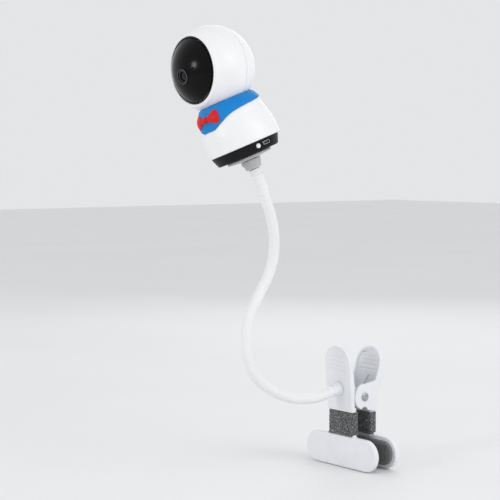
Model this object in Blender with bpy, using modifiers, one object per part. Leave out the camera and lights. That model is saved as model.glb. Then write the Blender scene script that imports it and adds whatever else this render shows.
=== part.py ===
"""Baby monitor camera: a pan-and-tilt ball camera on a gooseneck with a rail clip.

Axes: +X to the right seen from the front, -Y the way the lens looks, +Z up.
Origin: the middle of the front jaw pad's face, which bears on the rail.
All lengths in the constants below are millimetres; helpers convert to metres.
"""
import math

import bmesh
import bpy
from mathutils import Matrix, Vector

MM = 0.001
GAP = 0.3                      # clearance between pieces that touch

# Rail clip, measured from its hinge pin
PIN_AT = (0.0, 7.0, 50.0)      # hinge pin, in the object's frame
JAW_HALF_GAP = 7.0             # pin plane to a pad's face
LEVER_WIDTH = 32.5
LEVER_TOP = 46.7
LEVER_FOOT = -13.0
LEVER_FACE_LOW = 15.7          # outer face at the foot, measured out from the pin
LEVER_FACE_HIGH = 20.8         # outer face at the top
REAR_LEVER_TOP, REAR_FACE_HIGH = 43.5, 25.7
LEVER_BEND = -11.0             # height where the handle starts to lean out
WALL = 2.2
EAR_PIN_R = 2.2
REAR_EAR_R = 11.8
FRONT_EAR_R = 6.0
ARM_WIDTH = 29.0
ARM_IN, ARM_OUT = 8.9, 13.8    # the arm's inner and outer faces
JAW_DROP = 50.0                # pin to the jaw's middle
JAW_LENGTH, JAW_HEIGHT = 92.0, 28.7
JAW_IN, JAW_OUT = 10.3, 15.3
PAD_LENGTH, PAD_HEIGHT = 84.0, 22.0
GRIP_WIDTH, GRIP_IN, GRIP_OUT = 32.2, 6.95, 15.7
GRIP_TOP_FRONT, GRIP_TOP_REAR = -13.3, -15.2
SPRING_R, SPRING_WIRE_R, SPRING_TURNS = 4.4, 0.8, 4

# Gooseneck
NECK_R = 4.65
NECK_CORE_R = 2.3
NECK_BORE_R = 2.85
NECK_SOCKET_R = NECK_R + GAP
FOOT_HEIGHT = 57.6             # where the neck leaves the front lever
FOOT_DROP = math.radians(10.0) # how far it points down there
FOOT_LENGTH = 8.0
NECK_ROUTE = (                 # chosen points between the foot and the camera
    (0.0, -31.0, 53.0), (0.0, -45.0, 52.0), (0.0, -62.0, 53.8), (0.0, -80.0, 59.2), (0.0, -96.0, 68.0),
    (0.0, -108.5, 79.0), (0.0, -115.6, 93.0), (0.0, -117.7, 110.0), (0.0, -114.2, 130.0),
    (0.0, -103.5, 149.0), (0.9, -94.0, 165.1), (3.1, -90.2, 182.3), (6.0, -92.2, 200.4),
    (8.6, -98.2, 217.4), (10.0, -105.6, 232.4),
)
NECK_JOINTS = (0.145, 0.315, 0.485, 0.655, 0.825)   # fractions of the neck's length
NECK_LEAD = 7.0                # straight stretch kept at each end of a segment

# Camera, measured along its own axis from the ball's centre
BALL_AT = (-14.0, -143.9, 340.9)
BODY_PITCH, BODY_ROLL = math.radians(18.5), math.radians(-14.2)
LENS_TILT = math.radians(-11.9)      # the ball's tilt at rest, lens raised
BALL_R, BALL_WALL = 36.5, 1.8
FACE_R = 28.2
SEAM_BEHIND = 9.0                    # ball's seam, behind its centre
DOME_R, DOME_BACK = 36.5, 3.5        # window's outer radius and its centre's setback
WINDOW_R = 26.6
LENS_DROP = math.radians(7.1)
SLOT_HALF = 8.6
SKIN = ((29.0, 22.9), (32.0, 24.9), (36.0, 27.0), (40.0, 28.0), (44.5, 28.9), (49.5, 30.4),
        (57.0, 32.1), (67.1, 32.8))     # white body: depth below the ball's centre, radius
SKIN_WALL = 2.0
BODY_FOOT = 70.5
BASE_TOP, BASE_BOTTOM = 70.9, 79.2
FLANGE_R, FLANGE_TOP, FLANGE_EDGE, FLANGE_BOTTOM = 19.7, 79.5, 81.5, 82.6
RING_TOP, RING_BOTTOM = 82.9, 91.2
FERRULE_BOTTOM = 97.0
STUD_R = 2.9
SCARF_PROUD, SCARF_WALL = 1.1, 0.7
SCARF_EDGE = ((0, 48.7), (14, 48.6), (27.5, 45.5), (40, 42.5), (51, 40.8), (61, 39.9), (71, 39.3),
              (94, 38.5), (140, 36.6), (180, 36.0))   # degrees from the front, lower edge
BOW_DEPTH = 38.2
BOW_HALF_HEIGHT = ((0.0, 2.7), (0.14, 2.7), (0.22, 1.9), (0.45, 3.6), (0.7, 5.3), (0.88, 5.5),
                   (0.96, 4.4), (1.0, 2.6))     # by place from the knot (0) to a tip (1)
GRILLE_TOP, GRILLE_HEIGHT = 57.0, 10.4
GRILLE_SPREAD = math.radians(44.0)
BUTTON_AT = (math.radians(71.0), 74.5)          # azimuth and depth
SOCKET_AT = (math.radians(89.0), 74.3)
PAN_MODULE, PAN_TEETH, PAN_PINION_TEETH = 0.84, 40, 10
TILT_MODULE, TILT_TEETH, TILT_PINION_TEETH = 0.72, 30, 10
GEAR_SLACK = 0.15

for old in list(bpy.data.objects):
    bpy.data.objects.remove(old)

PARTS = bpy.data.collections.new("baby_monitor_camera")
CUTTERS = bpy.data.collections.new("cutters")
for collection in (PARTS, CUTTERS):
    bpy.context.scene.collection.children.link(collection)


# ---------------------------------------------------------------- materials

def material(name, color, roughness, metallic=0.0):
    mat = bpy.data.materials.new(name)
    mat.use_nodes = True
    shader = mat.node_tree.nodes["Principled BSDF"]
    shader.inputs["Base Color"].default_value = (*color, 1.0)
    shader.inputs["Roughness"].default_value = roughness
    shader.inputs["Metallic"].default_value = metallic
    mat.diffuse_color = (*color, 1.0)
    return mat


WHITE = material("white_gloss_plastic", (0.86, 0.86, 0.87), 0.25)
CLIP_WHITE = material("white_clip_plastic", (0.78, 0.79, 0.82), 0.4)
BLACK = material("black_plastic", (0.02, 0.02, 0.022), 0.35)
WINDOW_BLACK = material("black_window", (0.005, 0.005, 0.006), 0.05)
SCARF_BLUE = material("blue_plastic", (0.015, 0.22, 0.68), 0.35)
BOW_RED = material("red_plastic", (0.75, 0.03, 0.02), 0.35)
SLEEVE_WHITE = material("white_silicone", (0.80, 0.80, 0.81), 0.55)
GREY_PLASTIC = material("light_grey_plastic", (0.50, 0.50, 0.51), 0.4)
GRIP_CLOTH = material("speckled_cloth", (0.09, 0.09, 0.095), 0.9)
RUBBER = material("grey_rubber", (0.25, 0.25, 0.26), 0.8)
STEEL = material("steel", (0.55, 0.56, 0.58), 0.3, 1.0)
BRASS = material("brass", (0.72, 0.52, 0.22), 0.3, 1.0)
BOARD_GREEN = material("circuit_board", (0.02, 0.16, 0.07), 0.5)
NYLON = material("white_nylon", (0.80, 0.78, 0.72), 0.5)
GLASS = material("lens_glass", (0.03, 0.03, 0.06), 0.03)


# ---------------------------------------------------------------- helpers

def empty(name, at=(0, 0, 0), turn=(0, 0, 0), parent=None):
    """An empty that carries a body's frame; at is in millimetres."""
    obj = bpy.data.objects.new(name, None)
    PARTS.objects.link(obj)
    obj.empty_display_size = 0.01
    obj.location = Vector(at) * MM
    obj.rotation_euler = turn
    obj.parent = parent
    return obj


def add(name, mesh, parent, mat=None):
    """Link a mesh as a part, or as a cutter when it has no material."""
    obj = bpy.data.objects.new(name, mesh)
    obj.parent = parent
    if mat is None:
        CUTTERS.objects.link(obj)
        obj.hide_render = True
        obj.display_type = "WIRE"
        return obj
    PARTS.objects.link(obj)
    mesh.materials.append(mat)
    return obj


def boolean(target, tool, operation):
    mod = target.modifiers.new(tool.name, "BOOLEAN")
    mod.operation = operation
    mod.object = tool
    mod.solver = "EXACT"


def cut(target, *tools):
    for tool in tools:
        boolean(target, tool, "DIFFERENCE")


def join(target, *tools):
    for tool in tools:
        boolean(target, tool, "UNION")


def smooth(mesh, angle=35.0):
    mesh.shade_smooth()
    mesh.set_sharp_from_angle(angle=math.radians(angle))


def finish_mesh(bm, name, place):
    """Close a bmesh into a mesh, placed in its body's frame."""
    if place is not None:
        bm.transform(place)
    bmesh.ops.recalc_face_normals(bm, faces=bm.faces)
    if bm.calc_volume(signed=True) < 0:
        bmesh.ops.reverse_faces(bm, faces=bm.faces)
    mesh = bpy.data.meshes.new(name)
    bm.to_mesh(mesh)
    bm.free()
    smooth(mesh)
    return mesh


def shift(x, y, z):
    return Matrix.Translation(Vector((x, y, z)) * MM)


def turned(name, profile, parent, mat=None, place=None, steps=32):
    """Turn (radius, height) points round Z; they run down the outer side first."""
    bm = bmesh.new()
    verts = [bm.verts.new((r * MM, 0.0, z * MM)) for r, z in profile]
    for a, b in zip(verts, verts[1:]):
        bm.edges.new((a, b))
    if profile[0][0] > 0 and profile[-1][0] > 0:
        bm.edges.new((verts[-1], verts[0]))
    mesh = bpy.data.meshes.new(name)
    bm.to_mesh(mesh)
    bm.free()
    obj = add(name, mesh, parent, mat)
    if place is not None:
        obj.matrix_local = place
    screw = obj.modifiers.new("turn", "SCREW")
    screw.steps = steps
    screw.render_steps = steps
    screw.use_merge_vertices = True
    screw.merge_threshold = 0.00001
    screw.use_smooth_shade = True
    return obj


def rod(name, radius, start, end, parent, mat=None, sides=20):
    """A plain round bar between two points."""
    start, end = Vector(start), Vector(end)
    bm = bmesh.new()
    bmesh.ops.create_cone(bm, cap_ends=True, segments=sides, radius1=radius * MM, radius2=radius * MM,
                          depth=(end - start).length * MM)
    turn = (end - start).to_track_quat("Z", "Y").to_matrix().to_4x4()
    return add(name, finish_mesh(bm, name, shift(*((start + end) / 2)) @ turn), parent, mat)


def box(name, low, high, parent, mat=None, place=None):
    """A box between two corners."""
    low, high = Vector(low), Vector(high)
    bm = bmesh.new()
    bmesh.ops.create_cube(bm, size=1.0)
    size = Matrix.Diagonal((*((high - low) * MM), 1.0))
    bm.transform(shift(*((low + high) / 2)) @ size)
    return add(name, finish_mesh(bm, name, place), parent, mat)


def plate(name, loops, thickness, parent, mat=None, place=None):
    """A flat outline, with holes for its further loops, thick from Z = 0 upwards."""
    curve = bpy.data.curves.new(name, "CURVE")
    curve.dimensions = "2D"
    curve.fill_mode = "BOTH"
    curve.extrude = thickness * MM / 2
    for loop in loops:
        spline = curve.splines.new("POLY")
        spline.points.add(len(loop) - 1)
        spline.use_cyclic_u = True
        for point, (x, y) in zip(spline.points, loop):
            point.co = (x * MM, y * MM, 0.0, 1.0)
    lift = shift(0, 0, thickness / 2)
    return from_curve(name, curve, parent, mat, lift if place is None else place @ lift)


def tube(name, points, radius, parent, mat=None, scales=None, sides_level=2):
    """A round tube along points; scales thins it point by point."""
    curve = bpy.data.curves.new(name, "CURVE")
    curve.dimensions = "3D"
    curve.bevel_depth = radius * MM
    curve.bevel_resolution = sides_level
    curve.use_fill_caps = True
    spline = curve.splines.new("POLY")
    spline.points.add(len(points) - 1)
    for index, (point, at) in enumerate(zip(spline.points, points)):
        point.co = (*(Vector(at) * MM), 1.0)
        point.radius = scales[index] if scales else 1.0
    return from_curve(name, curve, parent, mat, None)


def from_curve(name, curve, parent, mat, place):
    """Turn a curve into a welded mesh, so that it can be cut and joined."""
    source = bpy.data.objects.new(name + "_curve", curve)
    bpy.context.scene.collection.objects.link(source)
    bpy.context.view_layer.update()
    evaluated = source.evaluated_get(bpy.context.evaluated_depsgraph_get())
    raw = bpy.data.meshes.new_from_object(evaluated)
    bm = bmesh.new()
    bm.from_mesh(raw)
    bmesh.ops.remove_doubles(bm, verts=bm.verts, dist=0.000002)
    bpy.data.objects.remove(source)
    return add(name, finish_mesh(bm, name, place), parent, mat)


def patch(name, surface, columns, rows, thickness, parent, mat=None, closed=False):
    """A skin over surface(u, v), u and v from 0 to 1, thickened inwards."""
    bm = bmesh.new()
    bmesh.ops.create_grid(bm, x_segments=columns, y_segments=rows, size=0.5)
    for vert in bm.verts:
        vert.co = Vector(surface(vert.co.x + 0.5, vert.co.y + 0.5)) * MM
    if closed:
        bmesh.ops.remove_doubles(bm, verts=bm.verts, dist=0.00001)
    bm.normal_update()
    first = next(iter(bm.faces))
    middle = first.calc_center_median()
    if first.normal.dot(Vector((middle.x, middle.y, 0.0))) < 0:
        bmesh.ops.reverse_faces(bm, faces=bm.faces)
    mesh = bpy.data.meshes.new(name)
    bm.to_mesh(mesh)
    bm.free()
    smooth(mesh)
    obj = add(name, mesh, parent, mat)
    solid = obj.modifiers.new("thickness", "SOLIDIFY")
    solid.thickness = thickness * MM
    solid.offset = -1.0
    solid.use_even_offset = True
    return obj


def arc(center, radius, start, end, count):
    """Points on an arc, from start to end in degrees."""
    angles = [math.radians(start + (end - start) * i / (count - 1)) for i in range(count)]
    return [(center[0] + radius * math.cos(a), center[1] + radius * math.sin(a)) for a in angles]


def stadium(length, height, count=9):
    """A slot-shaped outline with round ends."""
    r = height / 2
    reach = length / 2 - r
    return arc((reach, 0), r, -90, 90, count) + arc((-reach, 0), r, 90, 270, count)


def round_rect(width, height, radius, count=4):
    corners = ((1, 1, 0), (-1, 1, 90), (-1, -1, 180), (1, -1, 270))
    points = []
    for sx, sy, start in corners:
        center = (sx * (width / 2 - radius), sy * (height / 2 - radius))
        points += arc(center, radius, start, start + 90, count)
    return points


def circle(radius, count, center=(0.0, 0.0)):
    return arc(center, radius, 0, 360 - 360 / count, count)


def gear_outline(module, teeth):
    """Straight-sided teeth, narrow enough to run with backlash."""
    pitch = module * teeth / 2
    tip, root = pitch + 0.75 * module, pitch - 0.95 * module
    step = 2 * math.pi / teeth
    points = []
    for tooth in range(teeth):
        for radius, share in ((root, -0.26), (tip, -0.11), (tip, 0.11), (root, 0.26)):
            angle = (tooth + share) * step
            points.append((radius * math.cos(angle), radius * math.sin(angle)))
    return points


def between(table, x):
    """Straight-line reading of a table of (x, value) pairs."""
    for (x0, v0), (x1, v1) in zip(table, table[1:]):
        if x <= x1:
            return v0 + (v1 - v0) * (x - x0) / (x1 - x0)
    return table[-1][1]


def ball_points(radius, start, end, count):
    """(radius, height) points on a ball, by angle from its pole in degrees."""
    angles = [math.radians(start + (end - start) * i / (count - 1)) for i in range(count)]
    return [(radius * math.sin(a), radius * math.cos(a)) for a in angles]


# ---------------------------------------------------------------- rail clip

LEAN = math.atan2(LEVER_FACE_HIGH - LEVER_FACE_LOW, LEVER_TOP - LEVER_BEND)
REAR_LEAN = math.atan2(REAR_FACE_HIGH - LEVER_FACE_LOW, REAR_LEVER_TOP - LEVER_BEND)
UPRIGHT = Matrix(((1, 0, 0, 0), (0, 0, 1, 0), (0, 1, 0, 0), (0, 0, 0, 1)))   # outline X, Y to X, Z
SIDEWAYS = Matrix(((0, 0, 1, 0), (1, 0, 0, 0), (0, 1, 0, 0), (0, 0, 0, 1)))  # outline X, Y to Y, Z


def lever_face(height, lean=LEAN):
    """How far a lever's outer face stands out from the pin, by height."""
    return LEVER_FACE_LOW + max(0.0, height - LEVER_BEND) * math.tan(lean)


def arched(width, top, foot):
    """An upright outline with a round top."""
    half = width / 2
    return [(half, foot)] + arc((0, top - half), half, 0, 180, 11) + [(-half, foot)]


def ears(side, outline, inner, outer, parent):
    """The pair of hinge ears of one lever, as two plates to be joined to it."""
    pair = []
    for sign, start in ((1, inner), (-1, -outer)):
        name = f"{side}_ear_{'right' if sign > 0 else 'left'}"
        pair.append(plate(name, [outline], outer - inner, parent, None, shift(start, 0, 0) @ SIDEWAYS))
    return pair


def lever(side, parent, ear_outline, ear_inner, ear_outer, top, lean):
    """One half of the clip: handle with side flanges, hinge ears, arm and jaw plate."""
    half = LEVER_WIDTH / 2
    profile = [
        (LEVER_FACE_LOW, LEVER_FOOT), (LEVER_FACE_LOW, LEVER_BEND),
        (lever_face(top, lean), top), (lever_face(top, lean) - 3.2, top),
        (lever_face(24.0, lean) - 4.6, 24.0), (12.4, 11.0), (12.4, LEVER_FOOT),
    ]
    obj = plate(f"{side}_lever", [profile], LEVER_WIDTH, parent, CLIP_WHITE, shift(-half, 0, 0) @ SIDEWAYS)
    outline = plate(f"{side}_lever_outline", [arched(LEVER_WIDTH, top, LEVER_FOOT - 5)], 40.0,
                    parent, None, UPRIGHT)
    boolean(obj, outline, "INTERSECT")
    base = shift(0, lever_face(0, lean) - WALL / math.cos(lean), 0) @ Matrix.Rotation(-lean, 4, "X")
    channel = plate(f"{side}_lever_channel", [arched(LEVER_WIDTH - 2 * WALL, top - WALL, -30.0)], 20.0,
                    parent, None, base @ shift(0, -20, 0) @ UPRIGHT)
    cut(obj, channel)
    knee = box(f"{side}_knee", (-12.7, 9.0, -10.5), (12.7, lever_face(2.0) - 1.0, 2.0), parent)
    arm = box(f"{side}_arm", (-ARM_WIDTH / 2, ARM_IN, JAW_HEIGHT / 2 - JAW_DROP - 2.0),
              (ARM_WIDTH / 2, ARM_OUT, -9.4), parent)
    jaw = plate(f"{side}_jaw", [jaw_outline()], JAW_OUT - JAW_IN, parent, None,
                shift(0, JAW_IN, -JAW_DROP) @ UPRIGHT)
    join(obj, knee, arm, jaw, *ears(side, ear_outline, ear_inner, ear_outer, parent))
    cut(obj, rod(f"{side}_pin_hole", EAR_PIN_R + 0.25, (-30, 0, 0), (30, 0, 0), parent, None, 20))
    return obj


def jaw_outline():
    """A slot-shaped plate with two small horns that locate the grip sleeve."""
    r = JAW_HEIGHT / 2
    reach = JAW_LENGTH / 2 - r
    horn, rise = GRIP_WIDTH / 2 + GAP + 0.1, 3.0
    right = arc((horn + rise, r + rise), rise, 270, 180, 5) + [(horn, r)]
    left = [(-x, y) for x, y in reversed(right)]
    return arc((reach, 0), r, -90, 90, 9) + right + left + arc((-reach, 0), r, 90, 270, 9)


def grip_sleeve(name, top, parent):
    """A soft sleeve round the clip's arm."""
    middle = (GRIP_IN + GRIP_OUT) / 2
    outer = round_rect(GRIP_WIDTH, GRIP_OUT - GRIP_IN, 2.0)
    inner = round_rect(ARM_WIDTH + 2 * GAP, ARM_OUT - ARM_IN + 2 * GAP, 0.3, 2)
    inner = [(x, y + (ARM_IN + ARM_OUT) / 2 - middle) for x, y in inner]
    bottom = JAW_HEIGHT / 2 - JAW_DROP + GAP
    plate(name, [outer, inner], top - bottom, parent, GRIP_CLOTH, shift(0, middle, bottom))


def jaw_pad(name, parent):
    """A soft flat pad on the inner side of a jaw."""
    thickness = JAW_IN - GAP - JAW_HALF_GAP
    plate(name, [stadium(PAD_LENGTH, PAD_HEIGHT)], thickness, parent, RUBBER,
          shift(0, JAW_HALF_GAP, -JAW_DROP) @ UPRIGHT)


def clip_spring(parent):
    """A torsion spring round the pin, with a leg up each lever."""
    width = 2.4 * SPRING_TURNS
    steps = 12 * SPRING_TURNS
    coil = []
    for i in range(steps - 5):
        angle = math.pi + 2 * math.pi * SPRING_TURNS * i / steps
        x = -width / 2 + width * i / steps
        coil.append((x, SPRING_R * math.cos(angle), SPRING_R * math.sin(angle)))
    front_leg = [(-width / 2 - 0.4, -13.6, 17.5), (-width / 2 - 0.3, -9.5, 9.5)]
    rear_leg = [(width / 2 - 0.3, 9.5, 9.5), (width / 2 - 0.2, 15.6, 17.5)]
    tube("clip_spring", front_leg + coil + rear_leg, SPRING_WIRE_R, parent, STEEL, None, 0)


def build_clip():
    front = empty("clip_front_body", PIN_AT)
    facing = empty("front_lever_frame", (0, 0, 0), (0, 0, math.pi), front)
    rear = empty("clip_rear_body", PIN_AT)
    front_ear = arc((0, 0), FRONT_EAR_R, 75, 285, 11) + [(15.2, -10.2), (15.8, 13.0)]
    lever_front = lever("front", facing, front_ear, 10.2, 12.7, LEVER_TOP, LEAN)
    rear_ear = arc((0, 0), REAR_EAR_R, 80, 270, 11) + [(14.8, -14.6), (16.4, 14.0)]
    lever_rear = lever("rear", rear, rear_ear, 13.3, LEVER_WIDTH / 2, REAR_LEVER_TOP, REAR_LEAN)
    cut(lever_rear, rod("rear_ear_notch", 4.2, (-30, 0, -13.4), (30, 0, -13.4), rear, None, 20))
    grip_sleeve("front_grip_sleeve", GRIP_TOP_FRONT, facing)
    grip_sleeve("rear_grip_sleeve", GRIP_TOP_REAR, rear)
    jaw_pad("front_jaw_pad", facing)
    jaw_pad("rear_jaw_pad", rear)
    half = LEVER_WIDTH / 2 + GAP
    pin_in_x = Matrix.Rotation(math.pi / 2, 4, "Y")
    turned("hinge_pin", [(0, half + 1.0), (3.3, half + 1.0), (3.9, half + 0.6), (3.9, half),
                         (EAR_PIN_R, half), (EAR_PIN_R, -half - 1.2), (0, -half - 1.2)],
           front, STEEL, pin_in_x, 20)
    turned("pin_clip", [(3.9, 0.8), (3.9, 0), (EAR_PIN_R + 0.1, 0), (EAR_PIN_R + 0.1, 0.8)],
           front, STEEL, shift(-half - 0.8, 0, 0) @ pin_in_x, 20)
    clip_spring(front)
    return lever_front, front


# ---------------------------------------------------------------- gooseneck

def camera_matrix():
    """How the camera body leans, forwards and a little sideways."""
    return Matrix.Rotation(BODY_ROLL, 3, "Y") @ Matrix.Rotation(BODY_PITCH, 3, "X")


def on_axis(depth):
    """A point on the camera body's axis, by its depth below the ball's centre."""
    return Vector(BALL_AT) - camera_matrix() @ Vector((0, 0, depth))


def smooth_route(points, per_span=12):
    """A Catmull-Rom curve through points, as a dense list."""
    points = [Vector(p) for p in points]
    padded = [2 * points[0] - points[1], *points, 2 * points[-1] - points[-2]]
    dense = []
    for p0, p1, p2, p3 in zip(padded, padded[1:], padded[2:], padded[3:]):
        for i in range(per_span):
            t = i / per_span
            dense.append(0.5 * (2 * p1 + (p2 - p0) * t + (2 * p0 - 5 * p1 + 4 * p2 - p3) * t ** 2
                                + (3 * p1 - p0 - 3 * p2 + p3) * t ** 3))
    dense.append(points[-1])
    return dense


class Route:
    """The neck's centre line, read by distance along it."""

    def __init__(self, points):
        self.points = points
        self.marks = [0.0]
        for a, b in zip(points, points[1:]):
            self.marks.append(self.marks[-1] + (b - a).length)
        self.length = self.marks[-1]

    def at(self, distance):
        for index in range(1, len(self.marks)):
            if distance <= self.marks[index]:
                break
        low, high = self.marks[index - 1], self.marks[index]
        return self.points[index - 1].lerp(self.points[index], (distance - low) / (high - low))

    def along(self, distance):
        return (self.at(distance + 1.5) - self.at(distance - 1.5)).normalized()


def neck_foot():
    """Where the neck meets the front lever's face, and the way it points."""
    face = lever_face(FOOT_HEIGHT - PIN_AT[2])
    start = Vector((0, PIN_AT[1] - face, FOOT_HEIGHT))
    return start, Vector((0, -math.cos(FOOT_DROP), -math.sin(FOOT_DROP)))


def neck_route():
    start, way = neck_foot()
    top = on_axis(FERRULE_BOTTOM + GAP)
    lead = on_axis(FERRULE_BOTTOM + 9.0)
    return Route(smooth_route([start + way * (FOOT_LENGTH + GAP), *NECK_ROUTE[1:], lead, top]))


def neck_segment(number, route, start, end, parent):
    """One stretch of sleeve with its core: a socket at its start, a ball at its end."""
    has_socket = start > 0.0
    has_ball = end < route.length
    way_in = route.along(start) if has_socket else neck_foot()[1]
    way_out = route.along(end) if has_ball else camera_matrix() @ Vector((0, 0, 1))
    home = parent.matrix_world.translation / MM
    first = route.at(start) - home
    last = route.at(end) - home
    span = end - start - 2 * NECK_LEAD
    count = round(span / 5.5)
    inside = [route.at(start + NECK_LEAD + span * i / count) - home for i in range(count + 1)]
    outer = [first, first + way_in * NECK_LEAD / 2, *inside, last - way_out * NECK_LEAD / 2, last]
    scales = [1.0] * len(outer)
    bore_end = last - way_out * 3.0
    if has_ball:
        bore_end = last + way_out * (NECK_R + 2.0)
        for degrees in (35, 65):
            outer.append(last + way_out * NECK_R * math.sin(math.radians(degrees)))
            scales.append(math.cos(math.radians(degrees)))
    sleeve = tube(f"neck_sleeve_{number}", outer, NECK_R, parent, SLEEVE_WHITE, scales)
    if has_socket:
        bm = bmesh.new()
        bmesh.ops.create_uvsphere(bm, u_segments=12, v_segments=8, radius=NECK_SOCKET_R * MM)
        mesh = finish_mesh(bm, "socket", shift(*first))
        cut(sleeve, add(f"neck_socket_{number}", mesh, parent))
    bore = [first + way_in * 3.0, *inside, bore_end]
    cut(sleeve, tube(f"neck_bore_{number}", bore, NECK_BORE_R, parent, None, None, 1))
    core = [first + way_in * 5.4, *inside, last - way_out * 3.3]
    tube(f"neck_core_{number}", core, NECK_CORE_R, parent, STEEL, None, 1)


def build_neck(front_lever, front):
    start, way = neck_foot()
    frame = empty("neck_foot_frame", start, (math.pi / 2 + FOOT_DROP, 0, 0))
    ferrule = turned("neck_foot_ferrule", [(0, FOOT_LENGTH), (4.6, FOOT_LENGTH), (5.4, FOOT_LENGTH - 0.8),
                                           (6.0, 1.5), (6.0, -2.0), (0, -2.0)], frame, CLIP_WHITE, None, 24)
    clear = Matrix.Rotation(-FOOT_DROP, 4, "X") @ Matrix.Rotation(LEAN, 4, "X")
    cut(ferrule, box("ferrule_seat", (-12, -12, -12), (12, 12, GAP), frame, None, clear),
        rod("ferrule_hole", 2.1, (0, 0, -3), (0, 0, 5.8), frame))
    cut(front_lever, rod("foot_screw_hole", 2.1, (0, 0, -8), (0, 0, 8), frame))
    head = WALL + 0.75
    turned("neck_foot_screw", [(0, 5.2), (1.8, 5.2), (1.8, -head), (3.4, -head), (3.0, -head - 1.6),
                               (0, -head - 2.0)], frame, STEEL, None, 20)
    route = neck_route()
    stops = [0.0, *(fraction * route.length for fraction in NECK_JOINTS), route.length]
    for number, (low, high) in enumerate(zip(stops, stops[1:]), start=1):
        body = empty(f"neck_body_{number}", route.at(low))
        bpy.context.view_layer.update()
        neck_segment(number, route, low, high, body)


# ---------------------------------------------------------------- camera body

def skin_radius(depth):
    return between(SKIN, depth)


def around(azimuth, radius, depth):
    """A point on the camera body: azimuth 0 is its front, positive towards +X."""
    return (radius * math.sin(azimuth), -radius * math.cos(azimuth), -depth)


def radial(azimuth, depth):
    """A frame on the body's wall whose +Z points outwards."""
    turn = Matrix.Rotation(azimuth, 4, "Z") @ Matrix.Rotation(math.pi / 2, 4, "X")
    return shift(0, 0, -depth) @ turn


def body_shell(parent):
    """The white body: a turned shell, open above for the ball and below for the base."""
    outer = [(skin_radius(31.0), -31.0)] + [(r, -d) for d, r in SKIN[1:]]
    foot = [(32.4, -BODY_FOOT + 0.4), (31.2, -BODY_FOOT), (30.6, -BODY_FOOT + 0.2)]
    inner = [(30.6, -61.0)] + [(skin_radius(d) - SKIN_WALL, -d) for d in (51.0, 40.0)]
    shell = turned("body_shell", outer + foot + inner + [(21.8, -31.6)], parent, WHITE, None, 36)

    def opening(u, v):
        return around(math.pi + GRILLE_SPREAD * (u - 0.5), 38.0, GRILLE_TOP + GRILLE_HEIGHT * v)

    cut(shell, patch("grille_window", opening, 8, 1, 12.0, parent))


def scarf(parent):
    """The scarf-shaped collar, deeper at the front like a bib."""
    def surface(u, v):
        azimuth = 2 * math.pi * u
        degrees = math.degrees(azimuth)
        low = between(SCARF_EDGE, min(degrees, 360 - degrees))
        depth = 28.6 + (low - 28.6) * v
        rim = max(0.0, 29.6 - depth) * 0.35
        return around(azimuth, skin_radius(max(depth, 29.0)) + SCARF_PROUD - rim, depth)

    patch("scarf_collar", surface, 36, 7, SCARF_WALL, parent, SCARF_BLUE, closed=True)


def bow_half_height(u):
    """Half the bow's height, by its place from the knot (0) to a tip (1)."""
    return between(BOW_HALF_HEIGHT, abs(u))


def bow_tie(parent):
    """The bow on the scarf's front."""
    def surface(u, v):
        place = 2 * u - 1
        depth = BOW_DEPTH + (2 * v - 1) * bow_half_height(place)
        proud = SCARF_PROUD + GAP + (1.9 if abs(place) < 0.18 else 1.4)
        return around(math.radians(30) * place, skin_radius(depth) + proud, depth)

    patch("bow_tie", surface, 18, 2, 1.1, parent, BOW_RED)


def base_cover(parent):
    """The black base: a shallow cup with a seat for the threaded insert."""
    outer = [(30.2, -66.4), (30.2, -BASE_TOP), (29.9, -BASE_TOP - 1.0), (27.3, -BASE_BOTTOM + 0.6),
             (26.6, -BASE_BOTTOM)]
    inner = [(6.1, -BASE_BOTTOM), (6.1, -73.2), (7.6, -73.2), (7.6, -77.4), (25.4, -77.4), (26.8, -73.5),
             (28.3, -70.0), (28.3, -66.4)]
    cover = turned("base_cover", outer + inner, parent, BLACK, None, 36)
    for side, y in (("front", -21.5), ("back", 21.5)):
        join(cover, rod(f"base_boss_{side}", 3.7, (0, y, -77.9), (0, y, -75.4), parent, None, 18))
    mouth = plate("socket_mouth", [round_rect(9.6, 4.0, 0.8, 3)], 12.0, parent, None,
                  radial(*SOCKET_AT) @ shift(0, 0, 24))
    hole = rod("button_hole", 2.5, around(BUTTON_AT[0], 20, BUTTON_AT[1]),
               around(BUTTON_AT[0], 36, BUTTON_AT[1]), parent, None, 16)
    cut(cover, mouth, hole)
    for number, y in ((1, -21.5), (2, 21.5)):
        bore = rod(f"base_screw_bore_{number}", 1.7, (0, y, -90), (0, y, -74), parent, None, 12)
        sink = rod(f"base_screw_sink_{number}", 3.0, (0, y, -90), (0, y, -77.1), parent, None, 12)
        cut(cover, bore, sink)
        turned(f"base_screw_{number}", [(0, -66.0), (1.3, -66.0), (1.3, -77.4), (2.6, -77.4), (2.6, -78.2),
                                        (0, -78.2)], parent, STEEL, shift(0, y, 0), 12)


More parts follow.
